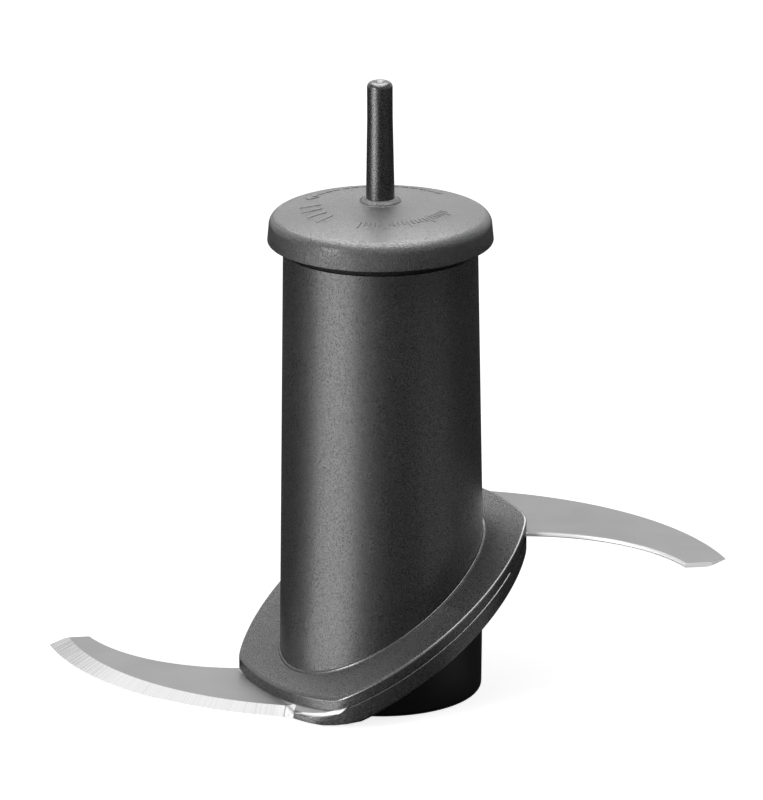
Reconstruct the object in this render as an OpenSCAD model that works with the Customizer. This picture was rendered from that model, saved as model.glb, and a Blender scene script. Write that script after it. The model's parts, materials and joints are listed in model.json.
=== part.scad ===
// Chopping blade of a small food processor bowl.
// A tall drive hub turns about Z and stands on its foot at Z = 0.
// An S-shaped steel plate is clamped, tilted, between two collar halves,
// and its two wings are bent level, one close to the bowl floor and one higher up.
// Lengths are millimetres and angles are degrees.

/* [Blade plate] */
// Thickness of the steel
blade_t = 1; // [0.8:0.1:1.4]
// Underside of the lower wing above the bowl floor
wing_low_z = 1.2; // [1:0.1:2]
// Distance of the bends behind the collar's flat sides
bend_inset = 0.7; // [0.4:0.1:1]
// Tilt of the plate's hub part
plate_tilt = 33.7; // [32:0.1:35]
// Direction in which the hub part climbs, from +X towards +Y
tilt_az = 28.5; // [20:0.5:40]
// Radius of the convex cutting edge
edge_r = 66.7; // [65:0.1:68]
// Cutting edge's centre, towards the wing from the hub axis
edge_cx = 8; // [7:0.1:9]
// Cutting edge's centre, ahead of the hub axis
edge_cy = 43; // [42:0.1:44]
// Radius of the concave back edge
back_r = 37.6; // [36.5:0.1:39]
// Back edge's centre, towards the wing from the hub axis
back_cx = 29.6; // [28.5:0.1:31]
// Back edge's centre, ahead of the hub axis
back_cy = 42.9; // [42:0.1:44]
// Corner of the cut tip, out from the hub axis
nose_x = 68.4; // [66:0.1:70]
// Corner of the cut tip, ahead of the hub axis
nose_y = 25.2; // [24:0.1:26]
// Slope of the short cut at the point
point_slope = 46; // [35:1:60]
// Slope of the long cut across the wing's end
end_slope = 11.3; // [5:0.1:20]
// Width of the ground bevel along the cutting edge
grind_w = 6.5; // [5:0.1:8]
// Thickness left at the cutting edge
edge_land = 0.12; // [0.1:0.01:0.3]
// Direction of the bevel's square end near the collar, from the cutting edge's centre
grind_end_a = 99.2; // [97:0.1:101]

/* [Collar] */
// Width of the collar's round ends beyond the tower
collar_w = 9.05; // [8.5:0.05:10]
// Depth by which the two flat sides cut into the round
flat_cut = 4.65; // [4.2:0.05:5]
// Radius of the slight bow in those sides
collar_bow_r = 88; // [75:1:120]
// Offset of each bow along its side
collar_skew = 4.6; // [3:0.1:6]
// Height of the upper half above the plate, measured upright
collar_above = 2.7; // [2.3:0.1:3.5]
// Depth of the lower half below the plate's top, measured upright
collar_below = 4; // [3.6:0.1:4.6]
// Rounding of the outer rims
collar_edge = 0.9; // [0.5:0.1:1.2]
// Small chamfer where the two halves meet
seam_edge = 0.2; // [0.1:0.05:0.3]
// Lip of the upper half round the tower
lip_w = 0.5; // [0.3:0.1:0.8]
// Height of that lip
lip_h = 0.7; // [0.4:0.1:1]
// Bottom of the collar above the bowl floor
floor_gap = 0.3; // [0.2:0.1:0.6]
// Plate's rim behind the collar's side, away from the wings
plate_inset = 1.6; // [1.2:0.1:2]

/* [Clamping studs] */
// Radius of a stud
stud_r = 1.25; // [1:0.05:1.4]
// Distance of the studs from the tower's outside
stud_offset = 3.75; // [3.2:0.05:4.2]
// Half angle between two neighbouring studs
stud_spread = 16; // [12:1:22]
// Bite of a stud above and below the plate
stud_bite = 1.7; // [1.3:0.1:2]

/* [Tower] */
// Height of the joint between tower and cap
tower_top_z = 96.5; // [92:0.5:104]
// Draft of the outer wall
tower_draft = 0.86; // [0.6:0.02:1]
// Wall thickness
tower_wall = 2; // [1.8:0.1:2.4]
// Depth of the ledge below the cap's joint
ledge_drop = 8.6; // [8:0.1:10]
// Height of the ledge that carries the drive sleeve
ledge_h = 3; // [2.4:0.1:4]
// Width of the ledge
ledge_w = 1.8; // [1.4:0.1:2.2]

/* [Cap] */
// Overhang of the cap's rim beyond the tower
cap_overhang = 3.25; // [2.6:0.05:4.2]
// Height of the neck between tower and rim
neck_h = 2.2; // [1.6:0.1:3]
// Neck's step behind the tower wall
neck_step = 0.25; // [0.1:0.05:0.5]
// Height of the rim up to the dome's edge
rim_h = 5.6; // [5:0.1:7]
// Rounding between rim and dome
rim_round = 2.4; // [1.6:0.1:3]
// Rounding of the rim's lower edge
rim_lip = 0.4; // [0.2:0.1:0.8]
// Inward lean of the rim's side
rim_lean = 0.3; // [0.1:0.05:0.5]
// Rise of the dome to the pin boss
dome_rise = 2.7; // [2:0.1:4]
// Thickness of the cap's skin
cap_wall = 2; // [1.6:0.1:2.6]
// Wall of the spigot
spigot_wall = 2.6; // [2.3:0.1:3]
// Section radius of the seal ring
seal_r = 0.8; // [0.6:0.05:0.95]

/* [Centring pin] */
// Height of the pin above its boss
pin_h = 25; // [20:0.5:30]
// Radius at the boss
pin_root_r = 3; // [2.8:0.05:3.3]
// Radius of the straight land near the tip
pin_land_r = 2.68; // [2.4:0.02:2.75]
// Length of that land
pin_land_h = 8; // [5:0.5:12]
// Rounding of the tip
pin_round = 0.8; // [0.4:0.1:1.2]
// Depth of the dimple in the tip
pin_dimple = 0.4; // [0.2:0.05:0.6]
// Depth of the pin's shank in the cap
shank_h = 9; // [7:0.5:11]
// Radius of the shank
shank_r = 2.5; // [2.2:0.1:2.7]
// Outer radius of the boss on the dome
boss_r = 4.2; // [4:0.1:5]
// Height of the boss above the dome
boss_h = 0.7; // [0.4:0.1:1.2]
// Chamfer of the boss
boss_edge = 0.25; // [0.1:0.05:0.3]

/* [Foot] */
// Foot's step behind the tower's wall, at the bottom
foot_step = 0.86; // [0.6:0.02:1.2]
// Draft of the foot, wider upwards
foot_draft = 0.8; // [0.4:0.05:1]
// Rounding of the bottom edge
foot_round = 1.2; // [0.8:0.1:1.4]
// Radius of the bore that runs on the bowl's chimney
chimney_bore_r = 14.8; // [14:0.1:15.2]
// Length of that running bore
chimney_bore_h = 12; // [8:0.5:16]
// Depth of the relieved space above it
relief_step = 1.8; // [1.4:0.1:2.2]
// Foot's wall round that space, inside the tower
foot_wall = 2.5; // [2:0.1:3]
// Wall round the running bore at the bottom
bore_wall = 1.8; // [1.4:0.1:2.2]
// Wall of the foot's skirt
skirt_wall = 1.8; // [1.4:0.1:2]
// Depth of the pockets in the foot
pocket_h = 3; // [2:0.1:3.2]
// Number of ribs between the pockets
pocket_ribs = 12; // [6:1:16]
// Thickness of those ribs
rib_t = 1.2; // [1:0.1:1.6]
// Height of the foot's top inside the tower
foot_top_z = 44; // [40:0.5:50]

/* [Drive] */
// Outer radius of the drive sleeve
sleeve_r = 9; // [8.8:0.1:9.4]
// Bore of the drive sleeve
sleeve_bore_r = 7.2; // [7:0.05:7.4]
// Lower end of the drive sleeve
sleeve_low_z = 30; // [26:0.5:36]
// Step of the sleeve's neck, on which the hanger sits
sleeve_step = 1.4; // [1:0.1:1.6]
// Thickness of the hanger's flange
flange_h = 2.6; // [2:0.1:2.8]
// Wall of the hanger's boss round the sleeve
hanger_wall = 1.4; // [1.2:0.1:1.8]
// Number of gussets and dogs under the flange
gusset_count = 6; // [4:1:8]
// Height of a gusset
gusset_h = 6; // [4:0.5:8]
// Thickness of a gusset
gusset_t = 1.6; // [1.2:0.1:2]
// Width of a dog that drops into the ledge
dog_w = 4; // [3:0.1:5]
// Depth of that dog below the flange
dog_h = 1.2; // [0.8:0.1:2]
// Length of the drive socket
socket_h = 24; // [18:0.5:28]
// Root radius of the socket's lobes
socket_root_r = 4.6; // [4.4:0.05:4.8]
// Radius of one lobe
lobe_r = 1.15; // [1:0.05:1.25]
// Number of lobes
lobe_count = 6; // [4:1:8]
// Width of the socket's keys
key_w = 2.4; // [2:0.1:3]
// Height of the keys above the socket's outside
key_h = 0.8; // [0.6:0.05:0.9]
// Thickness of the retaining ring
clip_t = 1.2; // [1:0.1:1.5]
// Width of the retaining ring
clip_w = 1.7; // [1.4:0.1:1.9]
// Bite of the retaining ring in its groove
clip_bite = 0.6; // [0.4:0.05:0.75]
// Opening of the retaining ring
clip_opening = 4; // [3:0.5:6]
// Bore of the spindle bush
spindle_r = 6.3; // [6.1:0.05:6.4]
// Length of the bush inside the sleeve
bush_h = 20; // [14:0.5:26]
// Flange of the bush below the sleeve
bush_lip_h = 1.5; // [1:0.1:2]
// Radius of that flange
bush_lip_r = 8.5; // [8:0.1:8.8]

/* [Fits] */
// Gap beside pieces that fit each other
fit_gap = 0.1; // [0.05:0.05:0.15]
// Gap where pieces seat
seat_gap = 0.05; // [0.03:0.01:0.1]

/* [Hidden] */
$fn = 96;
// Fine steps for the long bowed sides of the collar
bow_fn = 360;
// Steps in the arc of a rounded edge
round_steps = 6;
// Steps along the dome
dome_steps = 8;
// Steps round the collar's side
collar_steps = 120;
// One overrun for cuts, and a reach beyond every piece
cut = 1;
reach = 2 * edge_r;
// How far the level wings and the tilted hub part run into each other at a bend
bend_lap = 0.3;
// Sector in which the plate's shoulder lies open beside each wing, from the collar's long axis
shoulder_from = 5;
shoulder_to = 48;
// Inner end of the wing roots, as a share of the bend's distance from the axis
root_share = 0.5;
// Steps of a rounded rim, from its flat face: shares of the rounding along Z and inwards
rim_shares = [[0, 1], [-0.13, 0.5], [-0.5, 0.13], [-1, 0]];

slope = tan(plate_tilt);
tower_foot_r = chimney_bore_r + relief_step + foot_wall + fit_gap + tower_wall;
tower_top_r = tower_r(tower_top_z);
foot_r = tower_r(0) - foot_step;
relief_r = chimney_bore_r + relief_step;
collar_r = tower_r(0) + collar_w;
collar_flat_u = collar_r - flat_cut;
stud_ring_r = tower_r(0) + stud_offset;
cap_r = tower_top_r + cap_overhang;
bend_u = collar_flat_u - bend_inset;
wing_rise = 2 * bend_u * slope;
plate_mid_z = wing_low_z + blade_t / 2 + wing_rise / 2;
plate_half = blade_t / 2 / cos(plate_tilt);
plate_top_z = plate_mid_z + plate_half;
plate_low_z = plate_mid_z - plate_half;
collar_top_z = plate_top_z + collar_above;
collar_low_z = plate_top_z - collar_below;
grind_slope = grind_w / (blade_t - edge_land);
bow_u = collar_bow_r - collar_flat_u;

ledge_top_z = tower_top_z - ledge_drop;
rim_low_z = tower_top_z + neck_h;
dome_low_z = rim_low_z + rim_h;
dome_r = cap_r - rim_lean - rim_round;
dome_top_z = dome_low_z + dome_rise;
boss_top_z = dome_top_z + boss_h;
pin_top_z = boss_top_z + pin_h;
flange_low_z = ledge_top_z + seat_gap;
flange_top_z = flange_low_z + flange_h;
neck_low_z = tower_top_z + seat_gap;
shoulder_z = flange_low_z + flange_h / 2;
sleeve_hole_r = sleeve_r + fit_gap;
spigot_low_z = flange_top_z + seat_gap;
spigot_r = tower_in_r(spigot_low_z) - fit_gap;
flange_r = tower_in_r(flange_top_z) - fit_gap;
ledge_r = tower_in_r(ledge_top_z) - ledge_w;
foot_spigot_r = tower_in_r(foot_top_z) - fit_gap;
hub_hole_r = foot_spigot_r + fit_gap;
socket_top_z = flange_low_z - seat_gap;
socket_low_z = socket_top_z - socket_h;
clip_top_z = socket_low_z - seat_gap;
clip_r = sleeve_bore_r + clip_bite;
keyway_r = sleeve_bore_r + key_h + fit_gap;
seal_z = (tower_top_z + spigot_low_z) / 2;
seal_ring_r = tower_in_r(seal_z) - seal_r - seat_gap;
// Angle and point at which the rim's rounding runs into the dome
dome_a = 90 - atan(2 * dome_rise / dome_r);
dome_edge = [dome_r + rim_round * cos(dome_a), dome_low_z - rim_round * (1 - sin(dome_a))];

// Radii of the drafted walls at a height
function tower_r(z) = tower_foot_r + (foot_top_z - z) * tan(tower_draft);
function tower_in_r(z) = tower_r(z) - tower_wall;
function foot_out_r(z) = foot_r + z * tan(foot_draft);
// Distance along direction a from the hub axis to the circle of radius r round c
function circle_reach(a, c, r) = let (b = c * [cos(a), sin(a)]) b + sqrt(b * b - c * c + r * r);
// Collar's outline in direction a, counted from the direction in which it climbs
function collar_side_r(a, inset) = min(collar_r - inset,
    circle_reach(a, [-bow_u, -collar_skew], collar_bow_r - inset),
    circle_reach(a, [bow_u, collar_skew], collar_bow_r - inset));
// One ring of the collar's side, in the tilted plane that cuts the hub axis at height z
function collar_ring(z, inset) =
    [for (i = [0 : collar_steps - 1]) let (a = 360 * i / collar_steps, r = collar_side_r(a, inset))
        [r * cos(a + tilt_az), r * sin(a + tilt_az), z + slope * r * cos(a)]];
// Points of an arc round c, from angle a to angle b
function arc(c, r, a, b, steps) =
    [for (i = [0 : steps]) c + r * [cos(a + (b - a) * i / steps), sin(a + (b - a) * i / steps)]];
// Height of the dome at a radius, falling as a flat parabola from the boss
function dome_z(r) = dome_edge[1] + dome_rise * (1 - pow(r / dome_edge[0], 2));

// Everything below the tilted plane that cuts the hub axis at height z
module below_tilt(z) {
    rotate([0, 0, tilt_az])
        translate([0, 0, z])
            rotate([0, -plate_tilt, 0])
                translate([-reach, -reach, -reach])
                    cube([2 * reach, 2 * reach, reach]);
}

// Half plane beyond the line that lies u from the axis, on the low side
module low_side(u) {
    rotate(tilt_az)
        translate([-u - reach, -reach])
            square([reach, 2 * reach]);
}

// The lower side once as it is and once turned half round the hub axis
module both_sides() {
    children();
    rotate([0, 0, 180])
        children();
}

// Collar seen from above: round ends and two slightly bowed flat sides
module collar_outline(inset) {
    rotate(tilt_az)
        intersection() {
            circle(r = collar_r - inset);
            translate([-bow_u, -collar_skew])
                circle(r = collar_bow_r - inset, $fn = bow_fn);
            translate([bow_u, collar_skew])
                circle(r = collar_bow_r - inset, $fn = bow_fn);
        }
}

// Wing seen from above, with no end at the hub
module wing_outline(grow) {
    nose = [-nose_x, nose_y];
    point_far = nose - reach * [cos(point_slope), sin(point_slope)];
    end_far = nose + reach * [cos(end_slope), sin(end_slope)];
    intersection() {
        difference() {
            translate([-edge_cx, edge_cy])
                circle(r = edge_r + grow, $fn = bow_fn);
            translate([-back_cx, back_cy])
                circle(r = back_r - grow, $fn = bow_fn);
        }
        polygon([point_far, nose, end_far, [end_far[0], -reach], [point_far[0], -reach]]);
    }
}

// Open shoulder of the plate beside a wing
module shoulder_sector() {
    rotate(tilt_az + 180)
        polygon([[0, 0], reach * [cos(shoulder_from), sin(shoulder_from)],
            reach * [cos(shoulder_to), sin(shoulder_to)]]);
}

// Hub part of the plate seen from above: set back inside the collar, flush with it at the wings
module hub_outline(side_inset, flush_inset, grow) {
    collar_outline(side_inset);
    both_sides()
        intersection() {
            collar_outline(flush_inset);
            union() {
                shoulder_sector();
                intersection() {
                    wing_outline(grow);
                    low_side(root_share * bend_u);
                }
            }
        }
}

// Upright prism of an outline, through the whole collar
module through() {
    translate([0, 0, -reach])
        linear_extrude(2 * reach)
            children();
}

// Tilted sheet of the plate's hub part
module tilted_sheet(t) {
    rotate([0, 0, tilt_az])
        translate([0, 0, plate_mid_z])
            rotate([0, -plate_tilt, 0])
                cube([2 * reach, 2 * reach, t], center = true);
}

// Level wing on the low side, ground on its top face up to the bevel's square end
module wing() {
    cone_low_r = edge_r + grind_slope * (edge_land + cut);
    cone_top_r = edge_r + grind_slope * (edge_land - blade_t - cut);
    intersection() {
        linear_extrude(blade_t)
            intersection() {
                wing_outline(0);
                low_side(bend_u - bend_lap);
            }
        translate([-edge_cx, edge_cy, -cut]) {
            cylinder(h = blade_t + 2 * cut, r1 = cone_low_r, r2 = cone_top_r, $fn = bow_fn);
            rotate([0, 0, -grind_end_a])
                cube([reach, reach, blade_t + 2 * cut]);
        }
    }
}

module stud_places() {
    for (side = [90, 270], step = [-stud_spread, stud_spread])
        rotate([0, 0, tilt_az + side + step])
            translate([stud_ring_r, 0, plate_mid_z + slope * stud_ring_r * cos(side + step)])
                children();
}

// Everything inside the tower's outer wall, moved outwards by a gap
module tower_skin(gap) {
    cylinder(h = tower_top_z, r1 = tower_r(0) + gap, r2 = tower_r(tower_top_z) + gap);
}

// Space of the plate's hub part in the lower collar half
module sheet_space() {
    intersection() {
        through()
            hub_outline(plate_inset - fit_gap, -cut, fit_gap);
        tilted_sheet(blade_t + 2 * fit_gap);
    }
}

// Slot in which the level wing leaves the collar on the low side
module wing_slot() {
    linear_extrude(blade_t + 2 * fit_gap)
        intersection() {
            wing_outline(fit_gap);
            low_side(bend_u - bend_lap);
            collar_outline(-cut);
        }
}

module wing_slots() {
    translate([0, 0, wing_low_z - fit_gap])
        wing_slot();
    translate([0, 0, wing_low_z + wing_rise - fit_gap])
        rotate([0, 0, 180])
            wing_slot();
}

// Loft of the collar's outline from the lowest ring up, through pairs of height and inset
module collar_loft(steps) {
    n = collar_steps;
    top = len(steps) - 1;
    points = [for (step = steps) each collar_ring(step[0], step[1])];
    sides = [for (k = [0 : top - 1], i = [0 : n - 1]) let (a = k * n + i, b = k * n + (i + 1) % n)
        each [[a, a + n, b + n], [a, b + n, b]]];
    low_face = [for (i = [0 : n - 1]) i];
    top_face = [for (i = [0 : n - 1]) (top + 1) * n - 1 - i];
    polyhedron(points = points, faces = concat([low_face, top_face], sides));
}

module stud_holes() {
    stud_places()
        cylinder(h = 2 * (stud_bite + seat_gap), r = stud_r + fit_gap, center = true);
}

module blade_plate() {
    color("lightsteelblue")
        difference() {
            union() {
                intersection() {
                    through()
                        difference() {
                            hub_outline(plate_inset, seat_gap, 0);
                            both_sides()
                                low_side(bend_u + bend_lap);
                        }
                    tilted_sheet(blade_t);
                }
                translate([0, 0, wing_low_z])
                    wing();
                translate([0, 0, wing_low_z + wing_rise + blade_t])
                    rotate([0, 0, 180])
                        mirror([0, 0, 1])
                            wing();
            }
            through()
                circle(r = hub_hole_r);
            stud_holes();
        }
}

module upper_collar() {
    seat_z = plate_top_z + seat_gap;
    seam = [[seat_z, seam_edge], [seat_z + seam_edge, 0]];
    rim = [for (i = [len(rim_shares) - 1 : -1 : 0]) [collar_top_z, 0] + collar_edge * rim_shares[i]];
    color("dimgray")
        difference() {
            union() {
                collar_loft(concat(seam, rim));
                difference() {
                    intersection() {
                        tower_skin(lip_w);
                        below_tilt(collar_top_z + lip_h);
                    }
                    below_tilt(collar_top_z - collar_above / 2);
                }
            }
            tower_skin(fit_gap);
            wing_slots();
            stud_holes();
        }
}

module lower_collar() {
    seam = [[plate_top_z - seam_edge, 0], [plate_top_z, seam_edge]];
    rim = [for (s = rim_shares) [collar_low_z - collar_edge * s[0], collar_edge * s[1]]];
    color("dimgray")
        difference() {
            collar_loft(concat(rim, seam));
            cylinder(h = tower_top_z, r1 = foot_out_r(0) + fit_gap, r2 = foot_out_r(tower_top_z) + fit_gap);
            sheet_space();
            wing_slots();
            stud_holes();
            translate([-reach, -reach, floor_gap - reach])
                cube([2 * reach, 2 * reach, reach]);
        }
}

module clamp_studs() {
    color("silver")
        stud_places()
            cylinder(h = 2 * stud_bite, r = stud_r, center = true);
}

// Places of the dogs, and of the gussets above the ledge's notches
module dog_places() {
    for (i = [0 : gusset_count - 1])
        rotate([0, 0, 360 * i / gusset_count])
            children();
}

module tower_shell() {
    low_z = plate_top_z - slope * tower_r(0) - cut;
    ledge_low_z = ledge_top_z - ledge_h;
    notch_out = tower_in_r(ledge_top_z) + fit_gap;
    color("dimgray")
        difference() {
            rotate_extrude()
                polygon([[tower_r(low_z), low_z], [tower_top_r, tower_top_z],
                    [tower_in_r(tower_top_z), tower_top_z], [tower_in_r(ledge_top_z), ledge_top_z],
                    [ledge_r, ledge_top_z], [ledge_r, ledge_low_z + ledge_w],
                    [tower_in_r(ledge_low_z), ledge_low_z], [tower_in_r(low_z), low_z]]);
            below_tilt(plate_top_z + seat_gap);
            dog_places()
                translate([ledge_r - cut, -dog_w / 2 - fit_gap, ledge_low_z - cut])
                    cube([notch_out - ledge_r + cut, dog_w + 2 * fit_gap, ledge_h + 2 * cut]);
        }
}

module foot_sleeve() {
    high_z = plate_low_z + slope * foot_r + 2 * cut;
    pocket_in = chimney_bore_r + bore_wall;
    pocket_out = foot_r - skirt_wall;
    edge_c = [foot_out_r(foot_round) - foot_round, foot_round];
    color("#1c1c1e")
        difference() {
            union() {
                intersection() {
                    rotate_extrude()
                        polygon(concat([[0, 0]], arc(edge_c, foot_round, -90, 0, round_steps),
                            [[foot_out_r(high_z), high_z], [0, high_z]]));
                    below_tilt(plate_low_z - seat_gap);
                }
                translate([0, 0, pocket_h])
                    cylinder(h = foot_top_z - pocket_h, r = foot_spigot_r);
            }
            translate([0, 0, -cut])
                cylinder(h = foot_top_z + 2 * cut, r = chimney_bore_r);
            translate([0, 0, chimney_bore_h])
                cylinder(h = relief_r - chimney_bore_r, r1 = chimney_bore_r, r2 = relief_r);
            translate([0, 0, chimney_bore_h + relief_r - chimney_bore_r])
                cylinder(h = foot_top_z, r = relief_r);
            difference() {
                translate([0, 0, -cut])
                    cylinder(h = pocket_h + cut, r = pocket_out);
                translate([0, 0, -2 * cut])
                    cylinder(h = pocket_h + 4 * cut, r = pocket_in);
                for (i = [0 : pocket_ribs - 1])
                    rotate([0, 0, 360 * i / pocket_ribs])
                        translate([0, -rib_t / 2, -2 * cut])
                            cube([foot_r, rib_t, pocket_h + 4 * cut]);
            }
        }
}

module top_cap() {
    neck_r = tower_top_r - neck_step;
    cavity_r = spigot_r - spigot_wall;
    cavity_z = dome_low_z - cap_wall;
    post_r = shank_r + cap_wall;
    post_low_z = boss_top_z - shank_h - cap_wall;
    rim_c = [dome_r, dome_low_z - rim_round];
    groove_r = seal_ring_r - seal_r - seat_gap;
    dome = [for (i = [0 : dome_steps]) let (r = dome_edge[0] + (boss_r - dome_edge[0]) * i / dome_steps)
        [r, dome_z(r)]];
    outer = concat([[0, spigot_low_z], [spigot_r, spigot_low_z], [spigot_r, neck_low_z],
        [neck_r, neck_low_z], [neck_r, rim_low_z], [cap_r - rim_lip, rim_low_z],
        [cap_r, rim_low_z + rim_lip]], arc(rim_c, rim_round, 0, dome_a, round_steps), dome,
        [[boss_r, boss_top_z - boss_edge], [boss_r - boss_edge, boss_top_z], [0, boss_top_z]]);
    color("#2e2e31")
        difference() {
            rotate_extrude()
                polygon(outer);
            difference() {
                translate([0, 0, spigot_low_z - cut])
                    cylinder(h = cavity_z - spigot_low_z + cut, r = cavity_r);
                translate([0, 0, post_low_z])
                    cylinder(h = cavity_z, r = post_r);
            }
            translate([0, 0, boss_top_z - shank_h - seat_gap])
                cylinder(h = shank_h + cut, r = shank_r + fit_gap);
            translate([0, 0, seal_z - seal_r - fit_gap])
                difference() {
                    cylinder(h = 2 * (seal_r + fit_gap), r = tower_top_r);
                    translate([0, 0, -cut])
                        cylinder(h = 2 * (seal_r + fit_gap + cut), r = groove_r);
                }
        }
}

module cap_seal() {
    color("black")
        translate([0, 0, seal_z])
            rotate_extrude()
                translate([seal_ring_r, 0])
                    circle(r = seal_r);
}

module centring_pin() {
    tip_c = [pin_land_r - pin_round, pin_top_z - pin_round];
    base_z = boss_top_z + seat_gap;
    color("#2e2e31")
        rotate_extrude()
            polygon(concat([[0, boss_top_z - shank_h], [shank_r, boss_top_z - shank_h], [shank_r, base_z],
                [pin_root_r, base_z], [pin_land_r, pin_top_z - pin_land_h]],
                arc(tip_c, pin_round, 0, 90, round_steps),
                [[2 * pin_dimple, pin_top_z], [0, pin_top_z - pin_dimple]]));
}

module drive_sleeve() {
    color("gainsboro")
        difference() {
            union() {
                translate([0, 0, sleeve_low_z])
                    cylinder(h = shoulder_z - seat_gap - sleeve_low_z, r = sleeve_r);
                translate([0, 0, flange_low_z])
                    cylinder(h = flange_h, r = sleeve_r - sleeve_step);
            }
            translate([0, 0, sleeve_low_z - cut])
                cylinder(h = flange_low_z - sleeve_low_z + cut, r = sleeve_bore_r);
            translate([-keyway_r, -key_w / 2 - fit_gap, sleeve_low_z - cut])
                cube([2 * keyway_r, key_w + 2 * fit_gap, flange_low_z - sleeve_low_z + cut]);
            translate([0, 0, clip_top_z - clip_t - seat_gap])
                cylinder(h = clip_t + 2 * seat_gap, r = clip_r);
        }
}

module sleeve_hanger() {
    boss_low_z = flange_low_z - gusset_h;
    gusset_in = sleeve_hole_r + hanger_wall / 2;
    gusset_out = ledge_r - fit_gap;
    dog_in = gusset_out - gusset_t;
    color("gainsboro")
        difference() {
            union() {
                translate([0, 0, boss_low_z])
                    cylinder(h = gusset_h + flange_h, r = sleeve_hole_r + hanger_wall);
                translate([0, 0, flange_low_z])
                    cylinder(h = flange_h, r = flange_r);
                dog_places() {
                    rotate([90, 0, 0])
                        translate([0, 0, -gusset_t / 2])
                            linear_extrude(gusset_t)
                                polygon([[gusset_in, flange_top_z], [gusset_out, flange_top_z],
                                    [gusset_out, flange_low_z - dog_h],
                                    [sleeve_hole_r + hanger_wall, boss_low_z], [gusset_in, boss_low_z]]);
                    translate([dog_in, -dog_w / 2, flange_low_z - dog_h])
                        cube([flange_r - fit_gap - dog_in, dog_w, dog_h + flange_h / 2]);
                }
            }
            translate([0, 0, boss_low_z - cut])
                cylinder(h = shoulder_z - boss_low_z + cut, r = sleeve_hole_r);
            translate([0, 0, boss_low_z])
                cylinder(h = gusset_h + flange_h + cut, r = sleeve_hole_r - sleeve_step);
        }
}

module drive_socket() {
    key_out = sleeve_bore_r + key_h;
    color("silver")
        translate([0, 0, socket_low_z])
            difference() {
                union() {
                    cylinder(h = socket_h, r = sleeve_bore_r - fit_gap);
                    translate([-key_out, -key_w / 2, 0])
                        cube([2 * key_out, key_w, socket_h]);
                }
                translate([0, 0, -cut])
                    linear_extrude(socket_h + 2 * cut) {
                        circle(r = socket_root_r);
                        for (i = [0 : lobe_count - 1])
                            rotate(360 * i / lobe_count)
                                translate([socket_root_r, 0])
                                    circle(r = lobe_r);
                    }
            }
}

module retaining_ring() {
    color("silver")
        translate([0, 0, clip_top_z - clip_t])
            difference() {
                cylinder(h = clip_t, r = clip_r - seat_gap);
                translate([0, 0, -cut])
                    cylinder(h = clip_t + 2 * cut, r = clip_r - clip_w);
                translate([0, -clip_opening / 2, -cut])
                    cube([2 * clip_r, clip_opening, clip_t + 2 * cut]);
            }
}

module spindle_bush() {
    color("ivory")
        difference() {
            union() {
                translate([0, 0, sleeve_low_z - seat_gap])
                    cylinder(h = bush_h + seat_gap, r = sleeve_bore_r - fit_gap);
                translate([0, 0, sleeve_low_z - seat_gap - bush_lip_h])
                    cylinder(h = bush_lip_h, r = bush_lip_r);
            }
            translate([0, 0, sleeve_low_z - seat_gap - bush_lip_h - cut])
                cylinder(h = bush_h + bush_lip_h + 3 * cut, r = spindle_r);
        }
}

tower_shell();
top_cap();
centring_pin();
cap_seal();
upper_collar();
blade_plate();
lower_collar();
foot_sleeve();
clamp_studs();
drive_sleeve();
sleeve_hanger();
drive_socket();
retaining_ring();
spindle_bush();
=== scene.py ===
import json
import logging
import math
from collections.abc import Mapping, Sequence
from dataclasses import dataclass
from enum import Enum

import bmesh
import bpy
import numpy as np
from mathutils import Matrix, Vector
from mathutils.geometry import delaunay_2d_cdt

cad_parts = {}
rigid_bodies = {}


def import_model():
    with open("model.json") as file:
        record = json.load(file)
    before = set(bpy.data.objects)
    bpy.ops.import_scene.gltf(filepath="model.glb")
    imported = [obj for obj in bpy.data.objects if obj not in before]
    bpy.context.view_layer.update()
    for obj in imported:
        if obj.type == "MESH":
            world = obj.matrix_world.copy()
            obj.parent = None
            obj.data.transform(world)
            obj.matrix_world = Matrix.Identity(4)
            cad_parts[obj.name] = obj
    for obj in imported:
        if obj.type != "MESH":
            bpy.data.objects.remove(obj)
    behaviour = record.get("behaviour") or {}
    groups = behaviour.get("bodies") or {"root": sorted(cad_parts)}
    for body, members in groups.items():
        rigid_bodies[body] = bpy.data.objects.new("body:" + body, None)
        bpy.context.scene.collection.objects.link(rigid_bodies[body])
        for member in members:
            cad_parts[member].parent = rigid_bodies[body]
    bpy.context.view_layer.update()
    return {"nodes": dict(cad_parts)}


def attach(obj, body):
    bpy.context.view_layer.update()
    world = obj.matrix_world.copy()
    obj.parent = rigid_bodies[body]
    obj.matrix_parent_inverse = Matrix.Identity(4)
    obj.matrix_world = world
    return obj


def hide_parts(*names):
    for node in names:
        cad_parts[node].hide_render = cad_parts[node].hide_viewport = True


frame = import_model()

LOG = logging.getLogger("chopping_blade")
MM = 0.001
SAME_POINT_M = 2e-7
NO_LENGTH_M = 1e-8
MATT = 0.9
WHITE = (1.0, 1.0, 1.0, 1.0)
Colour = tuple[float, float, float]
Pair = tuple[float, float]


class Slot(Enum):
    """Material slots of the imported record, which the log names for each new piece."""

    HUB = "hub_plastic"
    CAP = "cap_plastic"
    BLADE = "blade_steel"


class Half(Enum):
    """The two halves of the clamping collar."""

    UPPER = "upper_collar"
    LOWER = "lower_collar"


class Facet(Enum):
    """Finishes of the blade plate, in the order of its material slots."""

    FACE = 0
    GROUND = 1
    EDGE = 2


# Shader values


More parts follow.
